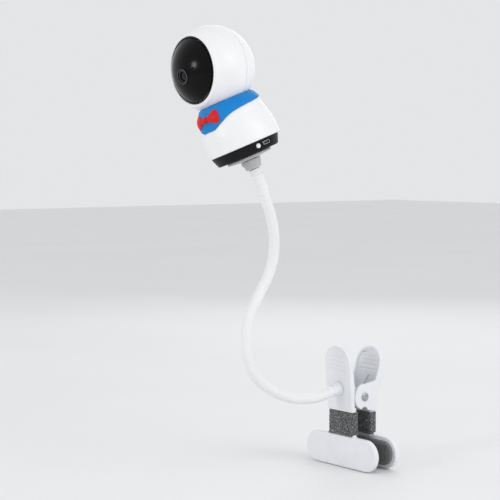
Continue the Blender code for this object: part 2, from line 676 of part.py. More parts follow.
def electronics(parent):
    """Board, socket, button and ballast, in the base."""
    outline = [(-20.5, -13.0), (20.0, -13.0), (20.0, -4.2), (23.9, -4.2), (23.9, 6.0), (20.5, 6.0),
               (20.5, 13.0), (-20.5, 13.0)]
    board = plate("main_board", [outline, circle(8.2, 20)], 1.0, parent, BOARD_GREEN, shift(0, 0, -77.1))
    chip = box("board_chip", (-19.0, -6.0, -76.5), (-11.0, 6.0, -74.6), parent)
    x, y, _ = around(BUTTON_AT[0], 21.0, 0.0)
    switch = box("board_switch", (x - 2.2, y - 2.0, -76.5), (x + 0.7, y + 2.4, -73.2), parent)
    join(board, chip, switch)

    place = radial(*SOCKET_AT)
    shell = [(-3.9, 1.35), (-3.9, -0.6), (-3.0, -1.45), (3.0, -1.45), (3.9, -0.6), (3.9, 1.35)]
    cavity = [(x * 0.88, y * 0.76) for x, y in shell]
    socket = plate("usb_socket", [shell], 6.9, parent, STEEL, place @ shift(0, 0, 21.2))
    cut(socket, plate("usb_cavity", [cavity], 7.6, parent, None, place @ shift(0, 0, 23.2)))
    join(socket, box("usb_tongue", (-2.7, -0.1, 22.6), (2.7, 0.5, 27.6), parent, None, place))

    turned("reset_button", [(0, 29.0), (1.5, 28.9), (2.1, 28.5), (2.1, 24.9), (2.65, 24.9), (2.65, 24.2),
                            (1.2, 24.2), (1.2, 23.6), (0, 23.6)], parent, WHITE, radial(*BUTTON_AT), 16)

    screw_holes = [circle(1.7, 12, (0, side * 21.5)) for side in (-1, 1)]
    plate("ballast_plate", [circle(26.6, 32), circle(8.2, 20), *screw_holes], 3.4, parent, STEEL,
          shift(0, 0, -71.4))
    turned("threaded_insert", [(5.8, -70.4), (5.8, -78.9), (3.25, -78.9), (3.25, -70.4)],
           parent, BRASS, None, 20)


def sound(parent):
    """The speaker behind its slotted grille, at the back of the body."""
    turned("speaker", [(0, 26.6), (4.0, 26.2), (9.0, 27.0), (9.4, 26.4), (9.4, 24.4), (6.0, 23.6),
                       (6.0, 20.6), (0, 20.6)], parent, BLACK, radial(math.pi, 58.6), 20)

    def surface(u, v):
        depth = GRILLE_TOP + 0.4 + (GRILLE_HEIGHT - 0.8) * v
        return around(math.pi + (GRILLE_SPREAD - 0.0244) * (u - 0.5), skin_radius(depth) - 0.5, depth)

    grille = patch("speaker_grille", surface, 8, 2, 1.2, parent, BLACK)
    for row in range(4):
        slit = plate(f"grille_slit_{row + 1}", [stadium(17.0, 0.9, 3)], 16.0, parent, None,
                     radial(math.pi, GRILLE_TOP + 2.1 + 2.05 * row) @ shift(0, 0, 22))
        cut(grille, slit)


def mount_stack(parent):
    """Flange, stud and top ferrule under the base, and the ring that locks them."""
    turned("mount_flange", [(FLANGE_R - 0.6, -FLANGE_TOP), (FLANGE_R, -FLANGE_TOP - 0.6),
                            (FLANGE_R - 0.2, -FLANGE_EDGE), (10.0, -FLANGE_BOTTOM), (3.3, -FLANGE_BOTTOM),
                            (3.3, -FLANGE_TOP)],
           parent, GREY_PLASTIC, None, 36)
    turned("mount_stud", [(0, -72.0), (2.5, -72.0), (STUD_R, -72.6), (STUD_R, -95.0), (0, -95.0)],
           parent, STEEL, None, 16)
    top = -RING_BOTTOM - GAP
    turned("neck_top_ferrule", [(0, -95.4), (3.2, -95.4), (3.2, top), (4.4, top), (5.2, top - 0.7),
                                (5.2, -FERRULE_BOTTOM + 0.6), (4.7, -FERRULE_BOTTOM), (0, -FERRULE_BOTTOM)],
           parent, CLIP_WHITE, None, 20)


def lock_ring(parent):
    """The finger-tight ring between the flange and the neck."""
    outer = [(8.2, -RING_TOP), (8.7, -RING_TOP - 0.5), (8.6, -RING_TOP - 3.0), (7.6, -RING_TOP - 4.6),
             (6.9, -RING_BOTTOM + 0.5), (6.4, -RING_BOTTOM)]
    inner = [(3.25, -RING_BOTTOM), (3.25, -RING_TOP)]
    ring = turned("lock_ring", outer + inner, parent, GREY_PLASTIC, None, 24)
    for index in range(6):
        groove = rod(f"ring_groove_{index + 1}", 0.9, (9.25, 0, -RING_TOP - 6), (9.25, 0, -RING_TOP + 1),
                     parent, None, 6)
        groove.data.transform(Matrix.Rotation((index + 0.4) * math.pi / 3, 4, "Z"))
        cut(ring, groove)


# ---------------------------------------------------------------- pan and tilt drives

def gear(name, module, teeth, bore, thickness, parent, place, mat=NYLON):
    return plate(name, [gear_outline(module, teeth), circle(bore, 16)], thickness, parent, mat, place)


def half_tooth(teeth):
    """Turns a gear by half a tooth, so that a space faces its neighbour's tooth."""
    return Matrix.Rotation(math.pi / teeth, 4, "Z")


PAN_CENTERS = PAN_MODULE * (PAN_TEETH + PAN_PINION_TEETH) / 2 + GEAR_SLACK
TILT_CENTERS = TILT_MODULE * (TILT_TEETH + TILT_PINION_TEETH) / 2 + GEAR_SLACK
TILT_MOTOR_BEARING = math.radians(-33.0)    # from straight back, downwards
GEAR_Z = -43.4


def pan_drive(base, pan):
    """The turntable on its bearing plate, with its motor, pinion and gear."""
    bearing = turned("pan_bearing_plate", [(26.4, -44.3), (26.8, -46.6), (5.6, -46.6), (5.6, -44.3)],
                     base, NYLON, None, 32)
    cut(bearing, rod("pan_shaft_hole", 1.6, (0, -PAN_CENTERS, -50), (0, -PAN_CENTERS, -40),
                     base, None, 12))
    turned("turntable", [(18.2, -38.7), (19.0, -39.1), (19.0, -40.5), (5.2, -40.5), (5.2, -49.0),
                         (3.6, -49.0), (3.6, -38.7)], pan, WHITE, None, 28)
    gear("pan_gear", PAN_MODULE, PAN_TEETH, 12.0, 2.5, pan, shift(0, 0, GEAR_Z))
    motor_y = -PAN_CENTERS + 6.4
    can = turned("pan_motor", [(0, -46.9), (8.6, -46.9), (9.0, -47.3), (9.0, -57.6), (0, -57.6)], base, STEEL,
                 shift(0, motor_y, 0), 24)
    join(can, rod("pan_motor_shaft", 1.0, (0, -PAN_CENTERS, -48), (0, -PAN_CENTERS, GEAR_Z + 2.4),
                  base, None, 10))
    axis = empty("pan_pinion_axis", (0, -PAN_CENTERS, 0), (0, 0, 0), base)
    facing = Matrix.Rotation(math.pi / 2, 4, "Z") @ half_tooth(PAN_PINION_TEETH)
    gear("pan_pinion", PAN_MODULE, PAN_PINION_TEETH, 1.3, 2.5, axis, shift(0, 0, GEAR_Z) @ facing)


def tilt_yoke(pan):
    """The post that carries the ball, with the shield that closes its slot."""
    yoke = box("tilt_yoke", (-7.0, -4.0, -37.2), (7.0, 4.0, 0.0), pan, NYLON)
    boss = rod("yoke_boss", 5.2, (-7.0, 0, 0), (7.0, 0, 0), pan, None, 20)
    foot = box("yoke_foot", (-9.0, -6.5, -38.4), (9.0, 6.5, -37.1), pan)
    join(yoke, boss, foot)
    cut(yoke, rod("yoke_bore", 2.2, (-12, 0, 0), (12, 0, 0), pan, None, 20))
    strip = strip_of_ball("slot_shield", 31.5, 31, 149, 11.2, pan, WHITE, 14)
    solid = strip.modifiers.new("thickness", "SOLIDIFY")
    solid.thickness = 0.7 * MM
    solid.offset = -1.0
    cut(strip, box("shield_hole", (-7.4, -4.4, -40.0), (7.4, 4.4, -20.0), pan))


def strip_of_ball(name, radius, start, end, half_width, parent, mat, steps):
    """A strip of a ball's skin, from start to end degrees below the front, round X."""
    bm = bmesh.new()
    half_angle = math.asin(half_width / radius)
    verts = []
    for i in range(5):
        angle = half_angle * (i / 2 - 1)
        across = Vector((radius * math.sin(angle), -radius * math.cos(angle), 0)) * MM
        verts.append(bm.verts.new(Matrix.Rotation(math.radians(start), 3, "X") @ across))
    for a, b in zip(verts, verts[1:]):
        bm.edges.new((a, b))
    mesh = bpy.data.meshes.new(name)
    bm.to_mesh(mesh)
    bm.free()
    obj = add(name, mesh, parent, mat)
    screw = obj.modifiers.new("turn", "SCREW")
    screw.axis = "X"
    screw.angle = math.radians(end - start)
    screw.steps = steps
    screw.render_steps = steps
    screw.use_merge_vertices = False
    screw.use_normal_flip = True
    screw.use_smooth_shade = True
    return obj


def tilt_drive(pan, ball):
    """The tilt motor on the yoke, its pinion, and the gear on the ball's axle."""
    y = TILT_CENTERS * math.cos(TILT_MOTOR_BEARING)
    z = TILT_CENTERS * math.sin(TILT_MOTOR_BEARING)
    motor = rod("tilt_motor", 7.0, (-6.5, y, z), (8.3, y, z), pan, STEEL, 24)
    join(motor, rod("tilt_motor_shaft", 1.0, (0, y, z), (13.2, y, z), pan, None, 10))
    to_x = Matrix.Rotation(math.pi / 2, 4, "Y")
    axis = empty("tilt_pinion_axis", (0, y, z), (0, 0, 0), pan)
    mesh_line = Matrix.Rotation(math.atan2(y, -z), 4, "Z")
    pinion_turn = mesh_line @ half_tooth(TILT_PINION_TEETH)
    gear("tilt_pinion", TILT_MODULE, TILT_PINION_TEETH, 1.3, 2.4, axis,
         shift(10.9, 0, 0) @ to_x @ pinion_turn)
    ball_line = Matrix.Rotation(-LENS_TILT, 4, "X") @ shift(10.9, 0, 0) @ to_x @ mesh_line
    gear("tilt_gear", TILT_MODULE, TILT_TEETH, 2.4, 2.4, ball, ball_line)
    rod("tilt_axle", 2.0, (-33.0, 0, 0), (33.0, 0, 0), ball, STEEL, 20)


# ---------------------------------------------------------------- ball

FORWARD = Matrix.Rotation(math.pi / 2, 4, "X")      # turned about Z, facing the ball's front


def ball_shells(ball):
    """The ball's front and rear shells, slotted below for the yoke."""
    inner_r = BALL_R - BALL_WALL
    seam = math.degrees(math.acos(-SEAM_BEHIND / BALL_R))
    seam_in = math.degrees(math.acos(-SEAM_BEHIND / inner_r))
    lip = [(FACE_R, 22.1), (28.5, 22.6), (29.1, 22.4)]
    outer = ball_points(BALL_R, 53.4, seam, 6)
    inside = ball_points(inner_r, seam_in, 58.0, 4)
    front = turned("ball_front_shell", lip + outer + inside + [(FACE_R, 18.4)], ball, WHITE, FORWARD)
    for sign, side in ((1, "right"), (-1, "left")):
        boss = rod(f"ball_boss_{side}", 4.6, (sign * 27.5, 0, 0), (sign * 35.2, 0, 0), ball, None, 16)
        join(front, boss)
        bore = rod(f"ball_boss_bore_{side}", 2.3, (sign * 20.0, 0, 0), (sign * 33.4, 0, 0), ball)
        cut(front, bore)
    behind = -SEAM_BEHIND - GAP
    rear_outer = ball_points(BALL_R, math.degrees(math.acos(behind / BALL_R)), 180.0, 7)
    rear_inner = ball_points(inner_r, 180.0, math.degrees(math.acos(behind / inner_r)), 5)
    rear = turned("ball_rear_shell", rear_inner + rear_outer, ball, WHITE, FORWARD)
    slot = strip_of_ball("ball_slot", 40.0, 83.5, 148.3, SLOT_HALF * 40.0 / BALL_R, ball, None, 8)
    solid = slot.modifiers.new("thickness", "SOLIDIFY")
    solid.thickness = 12.0 * MM
    solid.offset = -1.0
    cut(front, slot)
    cut(rear, slot)


def face(ball):
    """The dark window and its rim, with the lens set low in it."""
    rim_top = 21.3
    turned("face_rim", [(27.7, rim_top), (27.9, rim_top - 0.4), (27.9, 18.6), (26.9, 18.6), (26.9, rim_top)],
           ball, BLACK, FORWARD)
    edge = math.degrees(math.asin(WINDOW_R / DOME_R))
    inner_edge = math.degrees(math.asin((WINDOW_R - 0.9) / (DOME_R - 1.5)))
    outer = [(r, h - DOME_BACK) for r, h in ball_points(DOME_R, 0.0, edge, 6)]
    inner = [(r, h - DOME_BACK) for r, h in ball_points(DOME_R - 1.5, inner_edge, 0.0, 4)]
    window = turned("face_window", outer + inner, ball, WINDOW_BLACK, FORWARD)
    lens = empty("lens_axis", (0, DOME_BACK, 0), (LENS_DROP, 0, 0), ball)
    cut(window, rod("lens_opening", 6.6, (0, -20, 0), (0, -45, 0), lens, None, 24))
    turned("lens_bezel", [(5.9, DOME_R + 0.3), (6.3, DOME_R - 0.1), (6.3, DOME_R - 3.0), (4.3, DOME_R - 3.0),
                          (4.3, DOME_R - 1.6), (4.9, DOME_R + 0.1)], lens, BLACK, FORWARD, 24)
    turned("lens_glass", [(0, DOME_R - 0.9), (2.2, DOME_R - 1.2), (4.0, DOME_R - 1.9), (4.0, DOME_R - 3.0),
                          (0, DOME_R - 3.0)], lens, GLASS, FORWARD, 24)
    turned("lens_barrel", [(0, DOME_R - 3.4), (6.0, DOME_R - 3.4), (6.0, DOME_R - 9.0), (7.5, DOME_R - 9.0),
                           (7.5, DOME_R - 18.0), (0, DOME_R - 18.0)], lens, BLACK, FORWARD, 24)
    plate("sensor_board", [round_rect(24.0, 22.0, 1.5, 3)], 1.2, lens, BOARD_GREEN,
          FORWARD @ shift(0, 0, DOME_R - 18.0 - GAP - 1.2))


def build_camera():
    base = empty("camera_body", BALL_AT, (BODY_PITCH, BODY_ROLL, 0))
    pan = empty("pan_body", (0, 0, 0), (0, 0, 0), base)
    ball = empty("ball_body", (0, 0, 0), (LENS_TILT, 0, 0), pan)
    body_shell(base)
    scarf(base)
    bow_tie(base)
    base_cover(base)
    electronics(base)
    sound(base)
    mount_stack(base)
    lock_ring(base)
    pan_drive(base, pan)
    tilt_yoke(pan)
    tilt_drive(pan, ball)
    ball_shells(ball)
    face(ball)


front_lever, clip_front = build_clip()
build_neck(front_lever, clip_front)
build_camera()
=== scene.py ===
"""Looks for the baby monitor camera: a ball head in a scarf and bow, on a gooseneck with a rail clip.

Lengths are millimetres unless a name or a call says otherwise; MM converts them.
"""
import math

import bmesh
import bpy
import numpy as np
from mathutils import Matrix, Vector, noise


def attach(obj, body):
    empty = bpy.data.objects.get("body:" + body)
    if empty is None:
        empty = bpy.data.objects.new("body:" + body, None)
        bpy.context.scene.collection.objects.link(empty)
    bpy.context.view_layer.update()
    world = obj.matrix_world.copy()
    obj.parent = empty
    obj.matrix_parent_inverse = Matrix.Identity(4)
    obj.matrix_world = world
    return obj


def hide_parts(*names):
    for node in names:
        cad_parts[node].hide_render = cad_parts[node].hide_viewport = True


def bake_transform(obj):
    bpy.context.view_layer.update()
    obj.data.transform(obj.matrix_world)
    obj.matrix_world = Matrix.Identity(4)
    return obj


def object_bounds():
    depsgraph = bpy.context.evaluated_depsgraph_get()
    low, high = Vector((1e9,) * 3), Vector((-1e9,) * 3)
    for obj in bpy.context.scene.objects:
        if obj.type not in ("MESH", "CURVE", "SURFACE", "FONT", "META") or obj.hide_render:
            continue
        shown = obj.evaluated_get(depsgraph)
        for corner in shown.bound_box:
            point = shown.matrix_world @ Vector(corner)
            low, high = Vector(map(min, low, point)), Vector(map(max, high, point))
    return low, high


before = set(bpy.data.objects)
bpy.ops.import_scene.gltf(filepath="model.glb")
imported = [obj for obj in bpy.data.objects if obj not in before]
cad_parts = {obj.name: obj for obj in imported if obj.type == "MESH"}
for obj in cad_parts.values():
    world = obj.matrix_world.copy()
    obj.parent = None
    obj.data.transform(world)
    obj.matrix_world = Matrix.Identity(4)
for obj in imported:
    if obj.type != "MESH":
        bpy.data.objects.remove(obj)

CAD_BOX = [list(corner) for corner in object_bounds()]
MM = 0.001

# Rail clip
PIN_AT = (0.0, 7.0, 50.0)
LEVER_WIDTH, LEVER_TOP, LEVER_FOOT = 32.5, 46.7, -13.0
LEVER_FACE_LOW, LEVER_FACE_HIGH, LEVER_BEND = 15.7, 20.8, -11.0
REAR_LEVER_TOP, REAR_FACE_HIGH = 43.5, 25.7
WALL = 2.2
REAR_EAR_R, FRONT_EAR_R = 11.8, 6.0
ARM_WIDTH, ARM_IN, ARM_OUT = 29.0, 8.9, 13.8
JAW_DROP, JAW_LENGTH, JAW_HEIGHT = 50.0, 92.0, 28.7
JAW_IN, JAW_OUT = 10.3, 15.3
PAD_IN, PAD_OUT = 7.0, 10.0
PAD_LENGTH, PAD_HEIGHT = 84.0, 22.0
PAD_GROOVES, PAD_PITCH = 17, 4.4
GRIP_WIDTH, GRIP_IN, GRIP_OUT = 32.2, 6.95, 15.7
GRIP_TOP_FRONT, GRIP_TOP_REAR = -13.3, -15.2
GRIP_BOTTOM = -35.35
PIN_R = 2.2
SPRING_R, SPRING_WIRE_R, SPRING_TURNS = 4.4, 0.8, 4
SPRING_SLOT_X, SPRING_SLOT_Z = -4.6, 37.5
RIBS, RIB_PITCH, TOP_TO_RIBS = 4, 4.0, 22.0

# Gooseneck
NECK_R = 4.65
FOOT_HEIGHT, FOOT_DROP, FOOT_LENGTH = 57.6, math.radians(10.0), 8.0
NECK_ROUTE = (
    (0.0, -31.0, 53.0), (0.0, -45.0, 52.0), (0.0, -62.0, 53.8), (0.0, -80.0, 59.2), (0.0, -96.0, 68.0),
    (0.0, -108.5, 79.0), (0.0, -115.6, 93.0), (0.0, -117.7, 110.0), (0.0, -114.2, 130.0),
    (0.0, -103.5, 149.0), (0.9, -94.0, 165.1), (3.1, -90.2, 182.3), (6.0, -92.2, 200.4),
    (8.6, -98.2, 217.4), (10.0, -105.6, 232.4),
)
NECK_SEAM = 17.5
NECK_JOINTS = (0.145, 0.315, 0.485, 0.655, 0.825)
NECK_BODIES = ("clip_front", "neck_2", "neck_3", "neck_4", "neck_5", "camera_base")

# Camera, measured along its own axis from the ball's centre
BALL_AT = (-14.0, -143.9, 340.9)
BODY_PITCH, BODY_ROLL = math.radians(18.5), math.radians(-14.2)
LENS_TILT = math.radians(-11.9)
BALL_R, BALL_WALL, SEAM_BEHIND = 36.5, 1.8, 9.0
FACE_R = 28.2
DOME_R, DOME_BACK, WINDOW_R = 36.5, 3.5, 26.6
LENS_DROP = math.radians(7.1)
SLOT_HALF = 8.6
SKIN = ((29.0, 22.9), (32.0, 24.9), (36.0, 27.0), (40.0, 28.0), (44.5, 28.9), (49.5, 30.4),
        (57.0, 32.1), (67.1, 32.8))
BODY_FOOT, BASE_TOP, BASE_BOTTOM = 70.5, 70.9, 79.2
FLANGE_R, FLANGE_TOP, FLANGE_EDGE, FLANGE_BOTTOM = 19.7, 79.5, 81.5, 82.6
RING_TOP, RING_BOTTOM, FERRULE_BOTTOM = 82.9, 91.2, 97.0
SCARF_PROUD = 1.1
SCARF_EDGE = ((0, 48.7), (14, 48.6), (27.5, 45.5), (40, 42.5), (51, 40.8), (61, 39.9), (71, 39.3),
              (94, 38.5), (140, 36.6), (180, 36.0))
BOW_DEPTH = 38.2
GRILLE_TOP, GRILLE_HEIGHT, GRILLE_SPREAD = 57.0, 10.4, math.radians(44.0)
STUD_CLEARANCE_R = 3.25
BASE_SCREWS_AT = (-21.5, 21.5)
BASE_FLOOR = 77.4
LENS_BORE_R = 6.6
SENSOR_X, SENSOR_Z = 13.4, -1.1
BUTTON_AT = (math.radians(71.0), 74.5)
SOCKET_AT = (math.radians(89.0), 74.3)


# ---------------------------------------------------------------- frames

def shift(x, y, z):
    return Matrix.Translation(Vector((x, y, z)) * MM)


def turn_x(angle):
    return Matrix.Rotation(angle, 4, "X")


def turn_y(angle):
    return Matrix.Rotation(angle, 4, "Y")


def turn_z(angle):
    return Matrix.Rotation(angle, 4, "Z")


CLIP = shift(*PIN_AT)
FRONT = CLIP @ turn_z(math.pi)
CAMERA = shift(*BALL_AT) @ turn_y(BODY_ROLL) @ turn_x(BODY_PITCH)
BALL = CAMERA @ turn_x(LENS_TILT)
FACING = turn_x(math.pi / 2)
LENS = BALL @ shift(0, DOME_BACK, 0) @ turn_x(LENS_DROP)
UPRIGHT = Matrix(((1, 0, 0, 0), (0, 0, 1, 0), (0, 1, 0, 0), (0, 0, 0, 1)))
SIDEWAYS = Matrix(((0, 0, 1, 0), (1, 0, 0, 0), (0, 1, 0, 0), (0, 0, 0, 1)))


def around(azimuth, radius, depth):
    """A point on the camera body: azimuth 0 is its front, positive towards +X."""
    return (radius * math.sin(azimuth), -radius * math.cos(azimuth), -depth)


def radial(azimuth, depth):
    """A frame on the body's wall whose +Z points outwards."""
    return shift(0, 0, -depth) @ turn_z(azimuth) @ turn_x(math.pi / 2)


# ---------------------------------------------------------------- materials

class Paint:
    """A procedural material, built round one Principled shader."""

    def __init__(self, name, roughness, metallic=0.0, coat=0.0, coords="Object"):
        self.mat = bpy.data.materials.new(name)
        self.mat.use_nodes = True
        self.tree = self.mat.node_tree
        self.shader = self.tree.nodes["Principled BSDF"]
        self.set("Metallic", metallic)
        self.set("Roughness", roughness)
        self.set("Coat Weight", coat)
        self.set("Coat Roughness", 0.08)
        self.coords = self.tree.nodes.new("ShaderNodeTexCoord").outputs[coords]

    def set(self, socket, value):
        self.shader.inputs[socket].default_value = value

    def wire(self, source, target):
        self.tree.links.new(source, target)

    def noise(self, scale, detail=3.0, roughness=0.55, stretch=None):
        node = self.tree.nodes.new("ShaderNodeTexNoise")
        node.inputs["Scale"].default_value = scale
        node.inputs["Detail"].default_value = detail
        node.inputs["Roughness"].default_value = roughness
        self.wire(self.stretched(stretch), node.inputs["Vector"])
        return node.outputs["Fac"]

    def cells(self, scale, stretch=None, feature="F1", output="Distance"):
        node = self.tree.nodes.new("ShaderNodeTexVoronoi")
        node.feature = feature
        node.inputs["Scale"].default_value = scale
        self.wire(self.stretched(stretch), node.inputs["Vector"])
        return node.outputs[output]

    def stretched(self, stretch):
        if stretch is None:
            return self.coords
        node = self.tree.nodes.new("ShaderNodeMapping")
        node.inputs["Scale"].default_value = stretch
        self.wire(self.coords, node.inputs["Vector"])
        return node.outputs["Vector"]

    def ramp(self, factor, *stops):
        """Colours by factor; each stop is (place, colour)."""
        node = self.tree.nodes.new("ShaderNodeValToRGB")
        elements = node.color_ramp.elements
        while len(elements) < len(stops):
            elements.new(0.5)
        for element, (place, color) in zip(elements, stops):
            element.position = place
            element.color = (*color, 1.0)
        self.wire(factor, node.inputs["Fac"])
        return node.outputs["Color"]

    def spread(self, factor, low, high):
        node = self.tree.nodes.new("ShaderNodeMapRange")
        node.inputs["To Min"].default_value = low
        node.inputs["To Max"].default_value = high
        self.wire(factor, node.inputs["Value"])
        return node.outputs["Result"]

    def color(self, factor, *stops):
        self.wire(self.ramp(factor, *stops), self.shader.inputs["Base Color"])

    def rough(self, factor, low, high):
        self.wire(self.spread(factor, low, high), self.shader.inputs["Roughness"])

    def bump(self, height, strength, distance):
        node = self.tree.nodes.new("ShaderNodeBump")
        node.inputs["Strength"].default_value = strength
        node.inputs["Distance"].default_value = distance * MM
        self.wire(height, node.inputs["Height"])
        self.wire(node.outputs["Normal"], self.shader.inputs["Normal"])


def tone(color, share):
    return tuple(min(1.0, c * share) for c in color)


def moulded(name, color, roughness, coat=0.0, grain=900.0, relief=0.012, depth=0.015):
    """Moulded plastic: faint cloudiness, uneven gloss and a fine skin."""
    paint = Paint(name, roughness, coat=coat)
    cloud = paint.noise(70.0, 4.0)
    paint.color(cloud, (0.3, tone(color, 1.0 - depth)), (0.7, tone(color, 1.0 + depth)))
    paint.rough(paint.noise(240.0, 3.0), roughness * 0.8, roughness * 1.25)
    skin = paint.noise(grain, 2.0)
    paint.bump(skin, 0.35, relief)
    return paint


def satin_texture(name, color, roughness, grain=2600.0, relief=0.03):
    """Spark-textured plastic: a fine pebbled skin."""
    paint = Paint(name, roughness)
    cloud = paint.noise(90.0, 4.0)
    paint.color(cloud, (0.3, tone(color, 0.97)), (0.7, tone(color, 1.03)))
    paint.rough(paint.noise(500.0, 3.0), roughness * 0.85, roughness * 1.2)
    paint.bump(paint.cells(grain), 0.5, relief)
    return paint


def metal(name, color, roughness, stretch=(1.0, 1.0, 1.0)):
    """Turned or drawn metal, with fine tool marks along one way."""
    paint = Paint(name, roughness, metallic=1.0)
    marks = paint.noise(1500.0, 4.0, 0.7, stretch)
    paint.color(paint.noise(160.0, 4.0), (0.3, tone(color, 0.85)), (0.7, tone(color, 1.1)))
    paint.rough(marks, roughness * 0.7, roughness * 1.5)
    paint.bump(marks, 0.3, 0.02)
    return paint


def make_paints():
    white = moulded("shell_white", (0.86, 0.86, 0.865), 0.4)
    white.set("Subsurface Weight", 0.06)
    white.set("Subsurface Radius", (1.0, 0.9, 0.8))
    white.set("Subsurface Scale", 0.0015)
    clip = satin_texture("clip_white", (0.80, 0.81, 0.835), 0.42)
    clip.set("Subsurface Weight", 0.05)
    clip.set("Subsurface Scale", 0.0015)
    base = satin_texture("base_black", (0.008, 0.008, 0.0087), 0.42)
    base.set("Specular IOR Level", 0.14)
    rim = moulded("rim_black", (0.006, 0.006, 0.007), 0.3)
    rim.set("Specular IOR Level", 0.25)
    bezel = moulded("bezel_black", (0.004, 0.004, 0.005), 0.22)
    bezel.set("Specular IOR Level", 0.15)
    trim = moulded("trim_grey", (0.10, 0.10, 0.105), 0.35)

    window = Paint("window_black", 0.2)
    window.set("Specular IOR Level", 0.14)
    window.color(window.noise(60.0), (0.3, (0.0006, 0.0006, 0.0008)), (0.7, (0.0014, 0.0014, 0.0017)))
    window.rough(window.noise(150.0, 5.0), 0.17, 0.2)
    window.bump(window.noise(420.0, 2.0), 0.05, 0.01)

    scarf = moulded("scarf_blue", (0.005, 0.215, 0.60), 0.45, 0.0, 1800.0, 0.03, 0.07)
    scarf.set("Specular IOR Level", 0.2)
    bow = moulded("bow_red", (0.72, 0.009, 0.005), 0.42, 0.0, 1800.0, 0.03, 0.09)
    bow.set("Specular IOR Level", 0.25)

    hose = Paint("hose_silicone", 0.5, coords="UV")
    hose.color(hose.noise(26.0, 4.0, 0.55, (0.4, 3.0, 1.0)),
               (0.3, (0.80, 0.80, 0.805)), (0.7, (0.87, 0.87, 0.875)))
    hose.rough(hose.noise(60.0, 3.0), 0.42, 0.6)
    hose.bump(hose.noise(300.0, 3.0, 0.6, (1.0, 3.0, 1.0)), 0.4, 0.02)
    hose.set("Subsurface Weight", 0.12)
    hose.set("Subsurface Scale", 0.002)

    grey = satin_texture("mount_grey", (0.47, 0.47, 0.48), 0.4)
    cloth = Paint("speckled_cloth", 0.95)
    fleck = cloth.noise(1150.0, 2.0, 0.75, (1.0, 1.0, 0.8))
    cloth.color(fleck, (0.40, (0.012, 0.012, 0.014)), (0.50, (0.06, 0.062, 0.066)),
                (0.58, (0.17, 0.172, 0.18)), (0.68, (0.46, 0.46, 0.47)))
    cloth.bump(cloth.noise(1600.0, 3.0), 0.8, 0.12)
    cloth.set("Sheen Weight", 0.3)
    cloth.set("Sheen Roughness", 0.5)
    rubber = satin_texture("pad_rubber", (0.16, 0.16, 0.165), 0.8, 1800.0, 0.05)
    steel = metal("steel", (0.42, 0.43, 0.45), 0.3, (1.0, 0.08, 0.08))
    brass = metal("brass", (0.72, 0.5, 0.2), 0.3)
    nylon = satin_texture("nylon", (0.78, 0.76, 0.70), 0.5)
    board = Paint("circuit_board", 0.45)
    tracks = board.cells(260.0, (1.0, 1.0, 1.0), "DISTANCE_TO_EDGE")
    board.color(tracks, (0.02, (0.05, 0.30, 0.13)), (0.08, (0.012, 0.12, 0.05)))
    board.bump(tracks, 0.5, 0.05)
    glass = Paint("lens_coating", 0.1)
    glass.color(glass.noise(180.0), (0.3, (0.004, 0.004, 0.007)), (0.7, (0.008, 0.007, 0.014)))
    glass.rough(glass.noise(300.0), 0.08, 0.14)
    glass.set("Specular IOR Level", 0.3)
    button = moulded("button_white", (0.82, 0.82, 0.82), 0.3, 0.2)
    return {
        "white": white.mat, "clip": clip.mat, "base": base.mat, "rim": rim.mat, "window": window.mat,
        "scarf": scarf.mat, "bow": bow.mat, "hose": hose.mat, "grey": grey.mat, "cloth": cloth.mat,
        "rubber": rubber.mat, "steel": steel.mat, "brass": brass.mat, "nylon": nylon.mat,
        "board": board.mat, "glass": glass.mat, "button": button.mat, "bezel": bezel.mat, "trim": trim.mat,
    }


PAINT = make_paints()


# ---------------------------------------------------------------- solids

def new_object(name, bm, place=None):
    """A scene object from a bmesh, outward facing."""
    if place is not None:
        bm.transform(place)
    bmesh.ops.recalc_face_normals(bm, faces=bm.faces)
    if bm.calc_volume(signed=True) < 0:
        bmesh.ops.reverse_faces(bm, faces=bm.faces)
    mesh = bpy.data.meshes.new(name)
    bm.to_mesh(mesh)
    bm.free()
    obj = bpy.data.objects.new(name, mesh)
    bpy.context.scene.collection.objects.link(obj)
    return obj


def settled(obj):
    """The object's mesh with its modifiers applied; the object goes."""
    bpy.context.view_layer.update()
    evaluated = obj.evaluated_get(bpy.context.evaluated_depsgraph_get())
    mesh = bpy.data.meshes.new_from_object(evaluated)
    for mod in obj.modifiers:
        if mod.type == "BOOLEAN" and mod.object:
            bpy.data.objects.remove(mod.object)
    bpy.data.objects.remove(obj)
    return mesh


def piece(name, obj, body, paint, nodes=(), angle=38.0):
    """Finish a solid as a shown piece that rides on a body and stands for CAD nodes."""
    mesh = settled(obj)
    return shown(name, mesh, body, paint, nodes, angle)


def shown(name, mesh, body, paint, nodes=(), angle=38.0):
    mesh.name = name
    mesh.materials.clear()
    mesh.materials.append(PAINT[paint])
    mesh.shade_smooth()
    mesh.set_sharp_from_angle(angle=math.radians(angle))
    obj = bpy.data.objects.new(name, mesh)
    bpy.context.scene.collection.objects.link(obj)
    if body is not None:
        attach(obj, body)
    if nodes:
        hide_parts(*nodes)
    return obj


def boolean(target, tool, operation="DIFFERENCE"):
    mod = target.modifiers.new(tool.name, "BOOLEAN")
    mod.operation = operation
    mod.object = tool
    mod.solver = "EXACT"
    tool.hide_render = True


def cut(target, *tools):
    for tool in tools:
        boolean(target, tool)


def join(target, *tools):
    for tool in tools:
        boolean(target, tool, "UNION")


